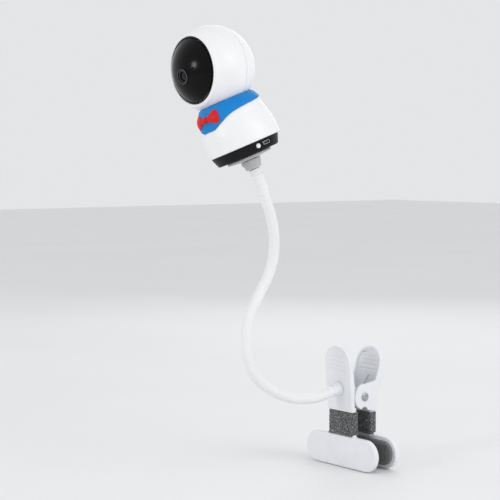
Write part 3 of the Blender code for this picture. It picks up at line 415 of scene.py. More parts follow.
def softened(obj, voxel, rounds=6, keep=1.0):
    """Rebuild a joined solid with small fillets along all its edges."""
    mesh = settled(obj)
    soft = bpy.data.objects.new("soft", mesh)
    bpy.context.scene.collection.objects.link(soft)
    remesh = soft.modifiers.new("remesh", "REMESH")
    remesh.mode = "VOXEL"
    remesh.voxel_size = voxel * MM
    remesh.adaptivity = 0.0
    relax = soft.modifiers.new("relax", "SMOOTH")
    relax.factor = 0.5
    relax.iterations = rounds
    if keep < 1.0:
        thin = soft.modifiers.new("thin", "DECIMATE")
        thin.ratio = keep
    return soft


def rounded(profile, radius, closed=True, count=4):
    """The outline with its corners rounded."""
    points = [Vector(p) for p in profile]
    total = len(points)
    made = []
    for i, point in enumerate(points):
        if not closed and i in (0, total - 1):
            made.append(point)
            continue
        before, after = points[i - 1], points[(i + 1) % total]
        back, ahead = before - point, after - point
        if back.length < 1e-6 or ahead.length < 1e-6 or back.angle(-ahead) < math.radians(12.0):
            made.append(point)
            continue
        reach = min(radius, 0.45 * back.length, 0.45 * ahead.length)
        start = point + back.normalized() * reach
        end = point + ahead.normalized() * reach
        for k in range(count + 1):
            t = k / count
            made.append((1 - t) ** 2 * start + 2 * t * (1 - t) * point + t ** 2 * end)
    return [tuple(p) for p in made]


def lathe(profile, place, steps=96, fillet=0.3, wobble=None):
    """Turn a (radius, height) outline round Z. It is closed unless both ends lie on the axis."""
    on_axis = profile[0][0] < 1e-6 and profile[-1][0] < 1e-6
    if fillet:
        profile = rounded(profile, fillet, closed=not on_axis)
    bm = bmesh.new()
    rings = []
    for r, z in profile:
        if r < 1e-6:
            rings.append([bm.verts.new((0, 0, z * MM))])
            continue
        ring = []
        for i in range(steps):
            angle = 2 * math.pi * i / steps
            reach = r + (wobble(angle, r, z) if wobble else 0.0)
            ring.append(bm.verts.new((reach * math.cos(angle) * MM, reach * math.sin(angle) * MM, z * MM)))
        rings.append(ring)
    pairs = list(zip(rings, rings[1:]))
    if not on_axis:
        pairs.append((rings[-1], rings[0]))
    for low, high in pairs:
        for i in range(steps):
            j = (i + 1) % steps
            corners = [low[i % len(low)], low[j % len(low)], high[j % len(high)], high[i % len(high)]]
            unique = list(dict.fromkeys(corners))
            if len(unique) > 2:
                bm.faces.new(unique)
    return new_object("lathe", bm, place)


def slab(loops, thickness, place, bevel=0.0, segments=2):
    """A flat outline, holes as further loops, thick from Z = 0 up, its edges rounded."""
    curve = bpy.data.curves.new("slab", "CURVE")
    curve.dimensions = "2D"
    curve.fill_mode = "BOTH"
    curve.extrude = (thickness / 2 - bevel) * MM
    curve.bevel_depth = bevel * MM
    curve.bevel_resolution = segments
    curve.offset = -bevel * MM
    for loop in loops:
        spline = curve.splines.new("POLY")
        spline.points.add(len(loop) - 1)
        spline.use_cyclic_u = True
        for point, (x, y) in zip(spline.points, loop):
            point.co = (x * MM, y * MM, 0.0, 1.0)
    return from_curve(curve, place @ shift(0, 0, thickness / 2))


def from_curve(curve, place):
    source = bpy.data.objects.new("source", curve)
    bpy.context.scene.collection.objects.link(source)
    bpy.context.view_layer.update()
    evaluated = source.evaluated_get(bpy.context.evaluated_depsgraph_get())
    raw = bpy.data.meshes.new_from_object(evaluated)
    bpy.data.objects.remove(source)
    bm = bmesh.new()
    bm.from_mesh(raw)
    bmesh.ops.remove_doubles(bm, verts=bm.verts, dist=0.000002)
    return new_object("from_curve", bm, place)


def wire_tube(points, radius, place, resolution=4):
    """A round wire through points."""
    curve = bpy.data.curves.new("wire", "CURVE")
    curve.dimensions = "3D"
    curve.bevel_depth = radius * MM
    curve.bevel_resolution = resolution
    curve.use_fill_caps = True
    spline = curve.splines.new("POLY")
    spline.points.add(len(points) - 1)
    for point, at in zip(spline.points, points):
        point.co = (*(Vector(at) * MM), 1.0)
    return from_curve(curve, place)


def rod(radius, start, end, place, sides=48, chamfer=0.0):
    start, end = Vector(start), Vector(end)
    length = (end - start).length
    turn = (end - start).to_track_quat("Z", "Y").to_matrix().to_4x4()
    profile = [(0, 0), (radius, 0), (radius, length), (0, length)]
    return lathe(profile, place @ shift(*start) @ turn, sides, chamfer)


def block(low, high, place):
    low, high = Vector(low), Vector(high)
    bm = bmesh.new()
    bmesh.ops.create_cube(bm, size=1.0)
    bm.transform(shift(*((low + high) / 2)) @ Matrix.Diagonal((*((high - low) * MM), 1.0)))
    return new_object("block", bm, place)


def skin(surface, columns, rows, place, closed=False):
    """A solid between an outer and an inner sheet; surface(u, v, side) gives its points."""
    bm = bmesh.new()
    wide = columns if closed else columns + 1
    grid = [[[bm.verts.new(Vector(surface(i / columns, j / rows, side)) * MM) for i in range(wide)]
             for j in range(rows + 1)] for side in (0, 1)]
    outer, inner = grid
    for j in range(rows):
        for i in range(columns):
            k = (i + 1) % wide
            bm.faces.new((outer[j][i], outer[j][k], outer[j + 1][k], outer[j + 1][i]))
            bm.faces.new((inner[j][i], inner[j + 1][i], inner[j + 1][k], inner[j][k]))
    for i in range(columns):
        k = (i + 1) % wide
        bm.faces.new((outer[0][i], inner[0][i], inner[0][k], outer[0][k]))
        bm.faces.new((outer[rows][i], outer[rows][k], inner[rows][k], inner[rows][i]))
    if not closed:
        for j in range(rows):
            bm.faces.new((outer[j][0], outer[j + 1][0], inner[j + 1][0], inner[j][0]))
            bm.faces.new((outer[j][-1], inner[j][-1], inner[j + 1][-1], outer[j + 1][-1]))
    return new_object("skin", bm, place)


def arc(center, radius, start, end, count):
    angles = [math.radians(start + (end - start) * i / (count - 1)) for i in range(count)]
    return [(center[0] + radius * math.cos(a), center[1] + radius * math.sin(a)) for a in angles]


def stadium(length, height, count=17):
    r = height / 2
    reach = length / 2 - r
    return arc((reach, 0), r, -90, 90, count) + arc((-reach, 0), r, 90, 270, count)


def round_rect(width, height, radius, count=6):
    points = []
    for sx, sy, start in ((1, 1, 0), (-1, 1, 90), (-1, -1, 180), (1, -1, 270)):
        center = (sx * (width / 2 - radius), sy * (height / 2 - radius))
        points += arc(center, radius, start, start + 90, count)
    return points


def smooth_line(points, per_span=10):
    """A Catmull-Rom line through points of any dimension."""
    points = [Vector(p) for p in points]
    padded = [2 * points[0] - points[1], *points, 2 * points[-1] - points[-2]]
    dense = []
    for p0, p1, p2, p3 in zip(padded, padded[1:], padded[2:], padded[3:]):
        for i in range(per_span):
            t = i / per_span
            dense.append(0.5 * (2 * p1 + (p2 - p0) * t + (2 * p0 - 5 * p1 + 4 * p2 - p3) * t ** 2
                                + (3 * p1 - p0 - 3 * p2 + p3) * t ** 3))
    dense.append(points[-1])
    return dense


def reading(table):
    """A smooth reading of a table of (x, value) pairs."""
    dense = smooth_line(table, 12)
    xs = [p[0] for p in dense]
    ys = [p[1] for p in dense]
    return lambda x: float(np.interp(x, xs, ys))


def ball_arc(radius, start, end, count, lift=0.0):
    angles = [math.radians(start + (end - start) * i / (count - 1)) for i in range(count)]
    return [(radius * math.sin(a), radius * math.cos(a) + lift) for a in angles]


# ---------------------------------------------------------------- rail clip

LEAN = math.atan2(LEVER_FACE_HIGH - LEVER_FACE_LOW, LEVER_TOP - LEVER_BEND)
REAR_LEAN = math.atan2(REAR_FACE_HIGH - LEVER_FACE_LOW, REAR_LEVER_TOP - LEVER_BEND)


def lever_face(height, lean=LEAN):
    return LEVER_FACE_LOW + max(0.0, height - LEVER_BEND) * math.tan(lean)


def arched(width, top, foot):
    half = width / 2
    return [(half, foot)] + arc((0, top - half), half, 0, 180, 41) + [(-half, foot)]


def jaw_outline():
    r = JAW_HEIGHT / 2
    reach = JAW_LENGTH / 2 - r
    horn, rise = GRIP_WIDTH / 2 + 0.4, 3.0
    right = arc((horn + rise, r + rise), rise, 270, 180, 9) + [(horn, r)]
    left = [(-x, y) for x, y in reversed(right)]
    return arc((reach, 0), r, -90, 90, 25) + right + left + arc((-reach, 0), r, 90, 270, 25)


def lever(name, body, node, place, top, lean, ear, ear_inner, ear_outer, extra_cuts=()):
    """One half of the clip: ribbed handle with side flanges, ears, arm and jaw plate."""
    half = LEVER_WIDTH / 2
    profile = [
        (LEVER_FACE_LOW, LEVER_FOOT), (LEVER_FACE_LOW, LEVER_BEND),
        (lever_face(top, lean), top), (lever_face(top, lean) - 3.2, top),
        (lever_face(24.0, lean) - 4.6, 24.0), (12.4, 11.0), (12.4, LEVER_FOOT),
    ]
    handle = slab([profile], LEVER_WIDTH, place @ shift(-half, 0, 0) @ SIDEWAYS)
    outline = slab([arched(LEVER_WIDTH, top, LEVER_FOOT - 5)], 40.0, place @ UPRIGHT)
    boolean(handle, outline, "INTERSECT")
    base = place @ shift(0, lever_face(0, lean) - WALL / math.cos(lean), 0) @ turn_x(-lean)
    channel = slab([arched(LEVER_WIDTH - 2 * WALL, top - WALL, -30.0)], 20.0,
                   base @ shift(0, -20, 0) @ UPRIGHT)
    cut(handle, channel)
    for row in range(RIBS):
        height = top - TOP_TO_RIBS + RIB_PITCH * row
        along = place @ shift(0, lever_face(height, lean), height) @ turn_x(-lean)
        rib = stadium(22.0 - 1.6 * row, 1.7, 9)
        cut(handle, slab([rib], 2.0, along @ shift(0, -0.75, 0) @ UPRIGHT),
            slab([rib], 2.0, along @ shift(0, -WALL - 1.4, 0) @ UPRIGHT))
    knee = block((-12.7, 9.0, -10.5), (12.7, lever_face(2.0, LEAN) - 1.0, 2.0), place)
    arm = block((-ARM_WIDTH / 2, ARM_IN, JAW_HEIGHT / 2 - JAW_DROP - 2.0),
                (ARM_WIDTH / 2, ARM_OUT, -9.4), place)
    jaw = slab([jaw_outline()], JAW_OUT - JAW_IN, place @ shift(0, JAW_IN, -JAW_DROP) @ UPRIGHT, 1.2, 3)
    join(handle, knee, arm, jaw)
    for start in (ear_inner, -ear_outer):
        join(handle, slab([ear], ear_outer - ear_inner, place @ shift(start, 0, 0) @ SIDEWAYS))
    cut(handle, rod(PIN_R + 0.25, (-30, 0, 0), (30, 0, 0), place))
    for tool in extra_cuts:
        cut(handle, tool)
    return piece(name, softened(handle, 0.34, 4, 0.4), body, "clip", [node], 60.0)


def cloth_sleeve(name, body, node, place, top, seed):
    """A knitted sleeve round the arm, its surface raised in small uneven stitches."""
    middle = (GRIP_IN + GRIP_OUT) / 2
    outer = round_rect(GRIP_WIDTH - 0.5, GRIP_OUT - GRIP_IN - 0.3, 2.2, 8)
    walk = [0.0]
    for a, b in zip(outer, outer[1:] + outer[:1]):
        walk.append(walk[-1] + (Vector(b) - Vector(a)).length)
    columns = 280
    height = top - GRIP_BOTTOM
    rows = round(height / 0.3)
    loop = []
    for i in range(columns):
        s = walk[-1] * i / columns
        k = max(j for j in range(len(outer)) if walk[j] <= s)
        a, b = Vector(outer[k]), Vector(outer[(k + 1) % len(outer)])
        loop.append(a.lerp(b, (s - walk[k]) / (walk[k + 1] - walk[k])))

    def surface(u, v, side):
        i = round(u * columns) % columns
        flat = loop[i]
        out = (loop[(i + 1) % columns] - loop[i - 1]).orthogonal().normalized()
        if out.dot(flat) < 0:
            out = -out
        z = GRIP_BOTTOM + height * v
        if side:
            spot = flat - out * 1.3
            return (spot.x, middle + spot.y, z)
        s = walk[-1] * u
        stitch = math.sin(s * 2 * math.pi / 0.95) * math.sin(z * 2 * math.pi / 0.85)
        uneven = noise.noise(Vector((s * 0.9, z * 0.9, seed))) * 0.16
        hem = (0.32 * math.exp(-((z - top + 0.8) / 0.7) ** 2)
               + 0.32 * math.exp(-((z - GRIP_BOTTOM - 0.8) / 0.7) ** 2))
        edge = -0.5 * math.exp(-(min(z - GRIP_BOTTOM, top - z) / 0.35) ** 2)
        belly = 0.12 * math.sin(math.pi * v)
        spot = flat + out * (0.09 * stitch + uneven + 0.5 * hem + edge + belly - 0.15)
        return (spot.x, middle + spot.y, z)

    solid = skin(surface, columns, rows, place, closed=True)
    return piece(name, solid, body, "cloth", [node], 70.0)


def jaw_pad(name, body, node, place):
    """A rubber pad with fine upright ribs for grip."""
    flat = slab([stadium(PAD_LENGTH, PAD_HEIGHT, 25)], PAD_OUT - PAD_IN,
                place @ shift(0, PAD_IN, -JAW_DROP) @ UPRIGHT, 0.5, 3)
    for index in range(-(PAD_GROOVES // 2), PAD_GROOVES // 2 + 1):
        along = place @ shift(index * PAD_PITCH, PAD_IN - 0.5, -JAW_DROP)
        groove = slab([stadium(15.0, 1.1, 7)], 1.0, along @ UPRIGHT @ turn_z(math.pi / 2))
        cut(flat, groove)
    return piece(name, flat, body, "rubber", [node])


def hinge():
    half = LEVER_WIDTH / 2 + 0.3
    to_x = CLIP @ turn_y(math.pi / 2)
    pin = lathe([(0, half + 0.35), (1.5, half + 0.35), (1.9, half + 1.0), (3.2, half + 1.0),
                 (3.9, half + 0.5), (3.9, half), (PIN_R, half), (PIN_R, -half - 1.2), (0, -half - 1.2)],
                to_x, 64, 0.25)
    piece("hinge_pin_turned", pin, "clip_front", "steel", ["hinge_pin"])
    ring = lathe([(3.9, 0.8), (3.9, 0), (PIN_R + 0.1, 0), (PIN_R + 0.1, 0.8)],
                 CLIP @ shift(-half - 0.8, 0, 0) @ turn_y(math.pi / 2), 64, 0.15)
    piece("pin_retainer", ring, "clip_front", "steel", ["pin_clip"])

    width = 2.4 * SPRING_TURNS
    steps = 40 * SPRING_TURNS
    coil = []
    for i in range(round(steps * 43 / 48)):
        angle = math.pi + 2 * math.pi * SPRING_TURNS * i / steps
        coil.append((-width / 2 + width * i / steps, SPRING_R * math.cos(angle), SPRING_R * math.sin(angle)))
    front_leg = [(-width / 2 - 0.4, -13.6, 17.5), (-width / 2 - 0.3, -9.5, 9.5)]
    spring = wire_tube(front_leg + coil, SPRING_WIRE_R, CLIP, 4)
    piece("clip_spring_wire", spring, "clip_front", "steel", ["clip_spring"], 50.0)
    rear_leg = [coil[-1], (width / 2 - 0.3, 9.5, 9.5), (width / 2 - 0.2, 15.6, 17.5)]
    leg = piece("clip_spring_leg", wire_tube(rear_leg, SPRING_WIRE_R, CLIP, 4), None, "steel", [], 50.0)
    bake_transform(leg)


def build_clip():
    front_ear = arc((0, 0), FRONT_EAR_R, 75, 285, 31) + [(15.2, -10.2), (15.8, 13.0)]
    rear_ear = arc((0, 0), REAR_EAR_R, 80, 270, 41) + [(14.8, -14.6), (16.4, 14.0)]
    start = Vector((0, PIN_AT[1] - lever_face(FOOT_HEIGHT - PIN_AT[2]), FOOT_HEIGHT))
    foot = shift(*start) @ turn_x(math.pi / 2 + FOOT_DROP)
    lever("front_lever_moulded", "clip_front", "front_lever", FRONT, LEVER_TOP, LEAN, front_ear, 10.2, 12.7,
          [rod(2.1, (0, 0, -8), (0, 0, 8), foot)])
    slot_y = lever_face(SPRING_SLOT_Z, REAR_LEAN) - 3.6
    slot = slab([stadium(9.5, 1.5, 9)], 2.6, CLIP @ shift(SPRING_SLOT_X, slot_y, SPRING_SLOT_Z) @ UPRIGHT)
    lever("rear_lever_moulded", "clip_rear", "rear_lever", CLIP, REAR_LEVER_TOP, REAR_LEAN, rear_ear, 13.3,
          LEVER_WIDTH / 2,
          [rod(4.2, (-30, 0, -13.4), (30, 0, -13.4), CLIP), slot])
    cloth_sleeve("front_grip_cloth", "clip_front", "front_grip_sleeve", FRONT, GRIP_TOP_FRONT, 3.0)
    cloth_sleeve("rear_grip_cloth", "clip_rear", "rear_grip_sleeve", CLIP, GRIP_TOP_REAR, 7.0)
    jaw_pad("front_pad_ribbed", "clip_front", "front_jaw_pad", FRONT)
    jaw_pad("rear_pad_ribbed", "clip_rear", "rear_jaw_pad", CLIP)
    hinge()
    return foot


# ---------------------------------------------------------------- gooseneck

def on_axis(depth):
    """A point on the camera body's axis, in millimetres."""
    return (CAMERA @ Vector((0, 0, -depth * MM))) / MM


class Hose:
    """The neck's centre line, its frames and its creased surface."""

    def __init__(self, foot):
        start = (foot @ Vector((0, 0, (FOOT_LENGTH + 0.3) * MM))) / MM
        end = [on_axis(FERRULE_BOTTOM + 9.0), on_axis(FERRULE_BOTTOM + 0.3)]
        line = smooth_line([start, *NECK_ROUTE, *end], 12)
        self.points = np.array([list(p) for p in line])
        gaps = np.linalg.norm(np.diff(self.points, axis=0), axis=1)
        self.marks = np.concatenate(([0.0], np.cumsum(gaps)))
        self.length = float(self.marks[-1])
        rng = np.random.default_rng(11)
        self.creases = []        # (place along the hose, depth) of each fine crease
        place = 9.0
        while place < self.length - 22.0:
            bend = self.bend(place)
            if bend > 0.006 or rng.random() < 0.35:
                self.creases.append((place, 0.05 + 0.10 * min(1.0, bend / 0.02) * rng.random()))
            place += rng.uniform(2.1, 4.2)
        self.creases.append((self.length - NECK_SEAM, 0.30))

    def at(self, s):
        return Vector([float(np.interp(s, self.marks, self.points[:, k])) for k in range(3)])

    def along(self, s):
        return (self.at(s + 1.5) - self.at(s - 1.5)).normalized()

    def bend(self, s):
        return self.along(s + 4.0).angle(self.along(s - 4.0)) / 8.0

    def radius(self, s, angle):
        r = NECK_R
        for place, depth in self.creases:
            if abs(s - place) < 1.6:
                r -= depth * math.exp(-((s - place) / 0.28) ** 2)
                r += 0.35 * depth * math.exp(-((abs(s - place) - 0.75) / 0.35) ** 2)
        if s > self.length - NECK_SEAM:
            r += 0.12
        return r + 0.03 * noise.noise(Vector((s * 0.25, math.cos(angle) * 1.5, math.sin(angle) * 1.5)))

    def tube(self, name, low, high, step=0.42, sides=56):
        """A stretch of the hose, capped, with its length and turn as its UV map."""
        count = max(2, round((high - low) / step))
        bm = bmesh.new()
        uv = bm.loops.layers.uv.new("UVMap")
        rings, marks = [], []
        for k in range(count + 1):
            s = low + (high - low) * k / count
            way = self.along(s)
            side = (Vector((1, 0, 0)) - way * way.x).normalized()
            up = way.cross(side)
            ring = []
            for i in range(sides):
                angle = 2 * math.pi * i / sides
                out = side * math.cos(angle) + up * math.sin(angle)
                ring.append(bm.verts.new((self.at(s) + out * self.radius(s, angle)) * MM))
            rings.append(ring)
            marks.append(s)
        for k, (a, b) in enumerate(zip(rings, rings[1:])):
            for i in range(sides):
                j = (i + 1) % sides
                face = bm.faces.new((a[i], a[j], b[j], b[i]))
                turns = (i / sides, (i + 1) / sides, (i + 1) / sides, i / sides)
                lengths = (marks[k], marks[k], marks[k + 1], marks[k + 1])
                for loop, turn, length in zip(face.loops, turns, lengths):
                    loop[uv].uv = (turn, length / 30.0)
        bm.faces.new(list(reversed(rings[0])))
        bm.faces.new(rings[-1])
        return new_object(name, bm)


def build_neck(foot):
    top = FOOT_LENGTH + 0.35
    bulb = smooth_line([(4.88, top), (5.0, FOOT_LENGTH - 0.6), (5.4, 6.3), (5.95, 4.4), (6.35, 2.6),
                        (6.5, 1.0), (6.4, -1.2)], 5)
    ferrule = lathe([(0, top), *((p[0], p[1]) for p in bulb), (0, -2.0)], foot, 96, 0.0)
    clear = turn_x(-FOOT_DROP) @ turn_x(LEAN)
    cut(ferrule, block((-12, -12, -12), (12, 12, 0.3), foot @ clear), rod(2.1, (0, 0, -3), (0, 0, 5.8), foot))
    piece("neck_foot_collar", ferrule, "clip_front", "clip", ["neck_foot_ferrule"])
    hose = Hose(foot)
    joints = [share * hose.length for share in NECK_JOINTS]
    stops = [0.0, *joints, hose.length]
    middles = [(a + b) / 2 for a, b in zip(stops, stops[1:])]
    ends = [0.0, *middles, hose.length]
    for k, (low, high) in enumerate(zip(ends, ends[1:])):
        mesh = settled(hose.tube("hose", low, high))
        if k == 0:
            shown("neck_hose_1", mesh, NECK_BODIES[0], "hose", ["neck_sleeve_1"])
        elif k == len(ends) - 2:
            shown(f"neck_hose_{k + 1}", mesh, NECK_BODIES[-1], "hose", ["neck_sleeve_6"])
        else:
            obj = shown(f"neck_hose_{k + 1}", mesh, None, "hose", [f"neck_sleeve_{k + 1}"] if k < 5 else [])
            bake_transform(obj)


# ---------------------------------------------------------------- camera body

skin_radius = reading(SKIN)


def body_shell():
    depths = [31.0 + (67.1 - 31.0) * i / 40 for i in range(41)]
    outer = [(skin_radius(d), -d) for d in depths]
    foot = [(32.75, -69.2), (32.4, -BODY_FOOT + 0.3), (31.4, -BODY_FOOT), (30.6, -BODY_FOOT + 0.2)]
    inner = [(30.6, -61.0)] + [(skin_radius(d) - 2.0, -d) for d in (56.0, 51.0, 45.5, 40.0, 36.0)]
    shell = lathe(outer + foot + inner + [(21.8, -31.6)], CAMERA, 160, 0.25)

    def opening(u, v, side):
        azimuth = math.pi + GRILLE_SPREAD * (u - 0.5)
        return around(azimuth, 26.0 if side else 38.0, GRILLE_TOP + GRILLE_HEIGHT * v)

    cut(shell, skin(opening, 24, 1, CAMERA))
    piece("body_shell_moulded", shell, "camera_base", "white", ["body_shell"])


def scarf():
    edge = reading(SCARF_EDGE)

    def surface(u, v, side):
        azimuth = 2 * math.pi * u
        degrees = math.degrees(azimuth)
        low = edge(min(degrees, 360 - degrees))
        top = 28.9
        depth = top + (low - top) * v
        inside = skin_radius(max(depth, 29.0)) + 0.32
        if side:
            return around(azimuth, inside, depth)
        near = min(v, 1 - v) * (low - top)
        lift = (SCARF_PROUD - 0.32) * (1 - max(0.0, 1 - near / 0.75) ** 2.6)
        fold = 0.10 * math.sin(8.0 * azimuth + 3.0 * v) * math.sin(math.pi * v)
        return around(azimuth, inside + lift + fold * min(1.0, near), depth)

    solid = skin(surface, 240, 36, CAMERA, closed=True)
    piece("scarf_moulded", solid, "camera_base", "scarf", ["scarf_collar"], 60.0)


def bow():
    lobe_half = ((0.14, 2.55), (0.23, 2.15), (0.45, 3.7), (0.7, 5.3), (0.86, 5.45), (0.96, 4.3), (1.0, 2.4))
    half_height = reading((*((-x, h) for x, h in reversed(lobe_half)), (0.0, 2.7), *lobe_half))

    def surface(u, v, side):
        place = 2 * u - 1
        across = 2 * v - 1
        depth = BOW_DEPTH + across * half_height(place)
        base = skin_radius(depth) + SCARF_PROUD + 0.3
        azimuth = math.radians(29.0) * place
        if side:
            return around(azimuth, base, depth)
        reach = abs(place)
        knot = 1.0 if reach < 0.15 else max(0.0, 1.0 - (reach - 0.15) / 0.06)
        crown = 1 - abs(across) ** 2.4
        tip = 1 - max(0.0, (reach - 0.86) / 0.14) ** 2.2
        swell = 1.0
        if reach > 0.15:
            swell = 0.55 + 0.45 * math.sin(math.pi * min(1.0, (reach - 0.15) / 0.85))
        lobe = 2.0 * crown * tip * swell
        pleat = 0.0
        if reach > 0.2:
            fade = max(0.0, 1 - (reach - 0.2) / 0.5)
            pleat = -0.45 * fade * (math.exp(-((across - 0.25) / 0.16) ** 2)
                                    + math.exp(-((across + 0.3) / 0.16) ** 2))
        bead = 0.55 * knot * crown
        return around(azimuth, base + 0.35 + max(0.05, lobe + pleat) * 0.9 + bead, depth)

    solid = skin(surface, 132, 36, CAMERA)
    piece("bow_moulded", solid, "camera_base", "bow", ["bow_tie"], 60.0)


def base_parts():
    outer = [(30.2, -66.4), (30.2, -BASE_TOP), (29.95, -BASE_TOP - 1.0), (27.35, -BASE_BOTTOM + 0.7),
             (26.5, -BASE_BOTTOM)]
    inner = [(6.1, -BASE_BOTTOM), (6.1, -73.2), (7.6, -73.2), (7.6, -BASE_FLOOR), (25.4, -BASE_FLOOR),
             (26.8, -73.5), (28.3, -70.0), (28.3, -66.4)]
    cover = lathe(outer + inner, CAMERA, 160, 0.35)
    for side in BASE_SCREWS_AT:
        join(cover, rod(3.7, (0, side, -77.9), (0, side, -75.4), CAMERA, 48))
    mouth = slab([round_rect(9.6, 4.0, 0.8, 6)], 12.0, CAMERA @ radial(*SOCKET_AT) @ shift(0, 0, 24))
    azimuth, depth = BUTTON_AT
    hole = rod(2.5, around(azimuth, 20, depth), around(azimuth, 36, depth), CAMERA)
    cut(cover, mouth, hole)
    for side in BASE_SCREWS_AT:
        cut(cover, rod(1.7, (0, side, -90), (0, side, -74), CAMERA, 32),
            rod(3.0, (0, side, -90), (0, side, -77.1), CAMERA, 48))
    piece("base_cover_moulded", cover, "camera_base", "base", ["base_cover"])
    for number, side in enumerate(BASE_SCREWS_AT, 1):
        place = CAMERA @ shift(0, side, 0)
        screw = lathe([(0, -66.0), (1.3, -66.0), (1.3, -77.4), (2.6, -77.4), (2.6, -78.2), (0, -78.2)],
                      place, 48, 0.15)
        for bar in ((1.6, 0.28), (0.28, 1.6)):
            cut(screw, block((-bar[0], -bar[1], -79.0), (bar[0], bar[1], -77.8), place))
        piece(f"base_screw_{number}_cross", screw, "camera_base", "steel", [f"base_screw_{number}"])
    button = lathe([(0, 29.05), (1.2, 29.0), (1.9, 28.7), (2.1, 28.3), (2.1, 24.9), (2.65, 24.9),
                    (2.65, 24.2), (1.2, 24.2), (1.2, 23.6), (0, 23.6)], CAMERA @ radial(*BUTTON_AT), 64, 0.2)
    piece("reset_button_moulded", button, "reset_button", "button", ["reset_button"])

    place = CAMERA @ radial(*SOCKET_AT)
    shell = [(-3.9, 1.35), (-3.9, -0.6), (-3.0, -1.45), (3.0, -1.45), (3.9, -0.6), (3.9, 1.35)]
    cavity = [(x * 0.9, y * 0.8) for x, y in shell]
    socket = slab([shell], 6.9, place @ shift(0, 0, 21.2))
    cut(socket, slab([cavity], 7.6, place @ shift(0, 0, 23.2)))
    piece("usb_shell", socket, "camera_base", "steel", ["usb_socket"])
    piece("usb_tongue", block((-2.7, -0.1, 22.6), (2.7, 0.5, 27.6), place), "camera_base", "base")
    contacts = block((-2.0, 0.45, 24.0), (-1.6, 0.62, 27.5), place)
    for index in range(1, 5):
        join(contacts, block((-2.0 + 0.9 * index, 0.45, 24.0), (-1.6 + 0.9 * index, 0.62, 27.5), place))
    piece("usb_contacts", contacts, "camera_base", "brass")


def grille():
    def surface(u, v, side):
        depth = GRILLE_TOP + 0.3 + (GRILLE_HEIGHT - 0.6) * v
        azimuth = math.pi + (GRILLE_SPREAD - 0.018) * (u - 0.5)
        return around(azimuth, skin_radius(depth) - (1.7 if side else 0.45), depth)

    panel = skin(surface, 40, 6, CAMERA)
    for row in range(4):
        place = CAMERA @ radial(math.pi, GRILLE_TOP + 2.1 + 2.05 * row)
        cut(panel, slab([stadium(17.0, 0.9, 9)], 16.0, place @ shift(0, 0, 22)))
    piece("speaker_grille_moulded", panel, "camera_base", "base", ["speaker_grille"])


def mount():
    flange = lathe([(FLANGE_R - 0.6, -FLANGE_TOP), (FLANGE_R, -FLANGE_TOP - 0.6),
                    (FLANGE_R - 0.2, -FLANGE_EDGE), (10.0, -FLANGE_BOTTOM), (3.3, -FLANGE_BOTTOM),
                    (3.3, -FLANGE_TOP)], CAMERA, 128, 0.25)
    piece("mount_flange_turned", flange, "camera_base", "grey", ["mount_flange"])

    def grip(angle, r, z):
        if r < 6.8 or z < -RING_TOP - 4.8:
            return 0.0
        return -0.28 * max(0.0, math.cos(angle * 24)) ** 4

    ring = lathe([(8.2, -RING_TOP), (8.7, -RING_TOP - 0.5), (8.65, -RING_TOP - 3.0), (7.6, -RING_TOP - 4.6),
                  (6.9, -RING_BOTTOM + 0.5), (6.4, -RING_BOTTOM), (STUD_CLEARANCE_R, -RING_BOTTOM),
                  (STUD_CLEARANCE_R, -RING_TOP)], CAMERA, 288, 0.3, grip)
    piece("lock_ring_knurled", ring, "lock_ring", "grey", ["lock_ring"])
    top = -RING_BOTTOM - 0.3
    ferrule = lathe([(0, -95.4), (3.2, -95.4), (3.2, top), (4.4, top), (5.2, top - 0.7), (5.2, top - 2.2),
                     (4.95, top - 2.5), (5.2, top - 2.8), (5.2, -FERRULE_BOTTOM + 0.6),
                     (4.7, -FERRULE_BOTTOM), (0, -FERRULE_BOTTOM)], CAMERA, 72, 0.2)
    piece("neck_top_collar", ferrule, "camera_base", "clip", ["neck_top_ferrule"])


# ---------------------------------------------------------------- ball and face

def slot_cutter():
    """A curved block that cuts the ball's slot for its yoke."""
    wide = math.asin(SLOT_HALF / BALL_R)

    def surface(u, v, side):
        tilt = math.radians(83.5 + (148.3 - 83.5) * v)
        across = wide * (2 * u - 1)
        radius = 28.0 if side else 40.0
        flat = Vector((radius * math.sin(across), -radius * math.cos(across), 0.0))
        return Matrix.Rotation(tilt, 3, "X") @ flat

    return skin(surface, 16, 48, BALL)


def ball_shells():
    inner_r = BALL_R - BALL_WALL
    seam = math.degrees(math.acos(-SEAM_BEHIND / BALL_R))
    seam_in = math.degrees(math.acos(-SEAM_BEHIND / inner_r))
    lip = [(FACE_R, 18.4), (FACE_R, 20.9), (28.7, 21.5), (29.3, 21.3), (30.6, 20.25), (30.95, 19.9)]
    start = math.degrees(math.asin(31.3 / BALL_R))
    edge = [(BALL_R * math.sin(math.radians(seam)) - 0.25, -SEAM_BEHIND)]
    outer = ball_arc(BALL_R, start, seam - 0.6, 40)
    inside = ball_arc(inner_r, seam_in, 58.0, 16)
    front = lathe(lip + outer + edge + inside, BALL @ FACING, 192, 0.12)
    for sign in (1, -1):
        join(front, rod(4.6, (sign * 27.5, 0, 0), (sign * 35.2, 0, 0), BALL))
        cut(front, rod(2.3, (sign * 20.0, 0, 0), (sign * 33.4, 0, 0), BALL))
    cut(front, slot_cutter())
    piece("ball_front_moulded", front, "ball", "white", ["ball_front_shell"], 32.0)
    behind = -SEAM_BEHIND - 0.25
    first = math.degrees(math.acos(behind / BALL_R))
    last = math.degrees(math.acos(behind / inner_r))
    edge = [(BALL_R * math.sin(math.radians(first)) - 0.25, behind)]
    rear = lathe(ball_arc(inner_r, 180.0, last, 20) + edge + ball_arc(BALL_R, first + 0.6, 180.0, 40),
                 BALL @ FACING, 192, 0.0)
    cut(rear, slot_cutter())
    piece("ball_rear_moulded", rear, "ball", "white", ["ball_rear_shell"], 32.0)


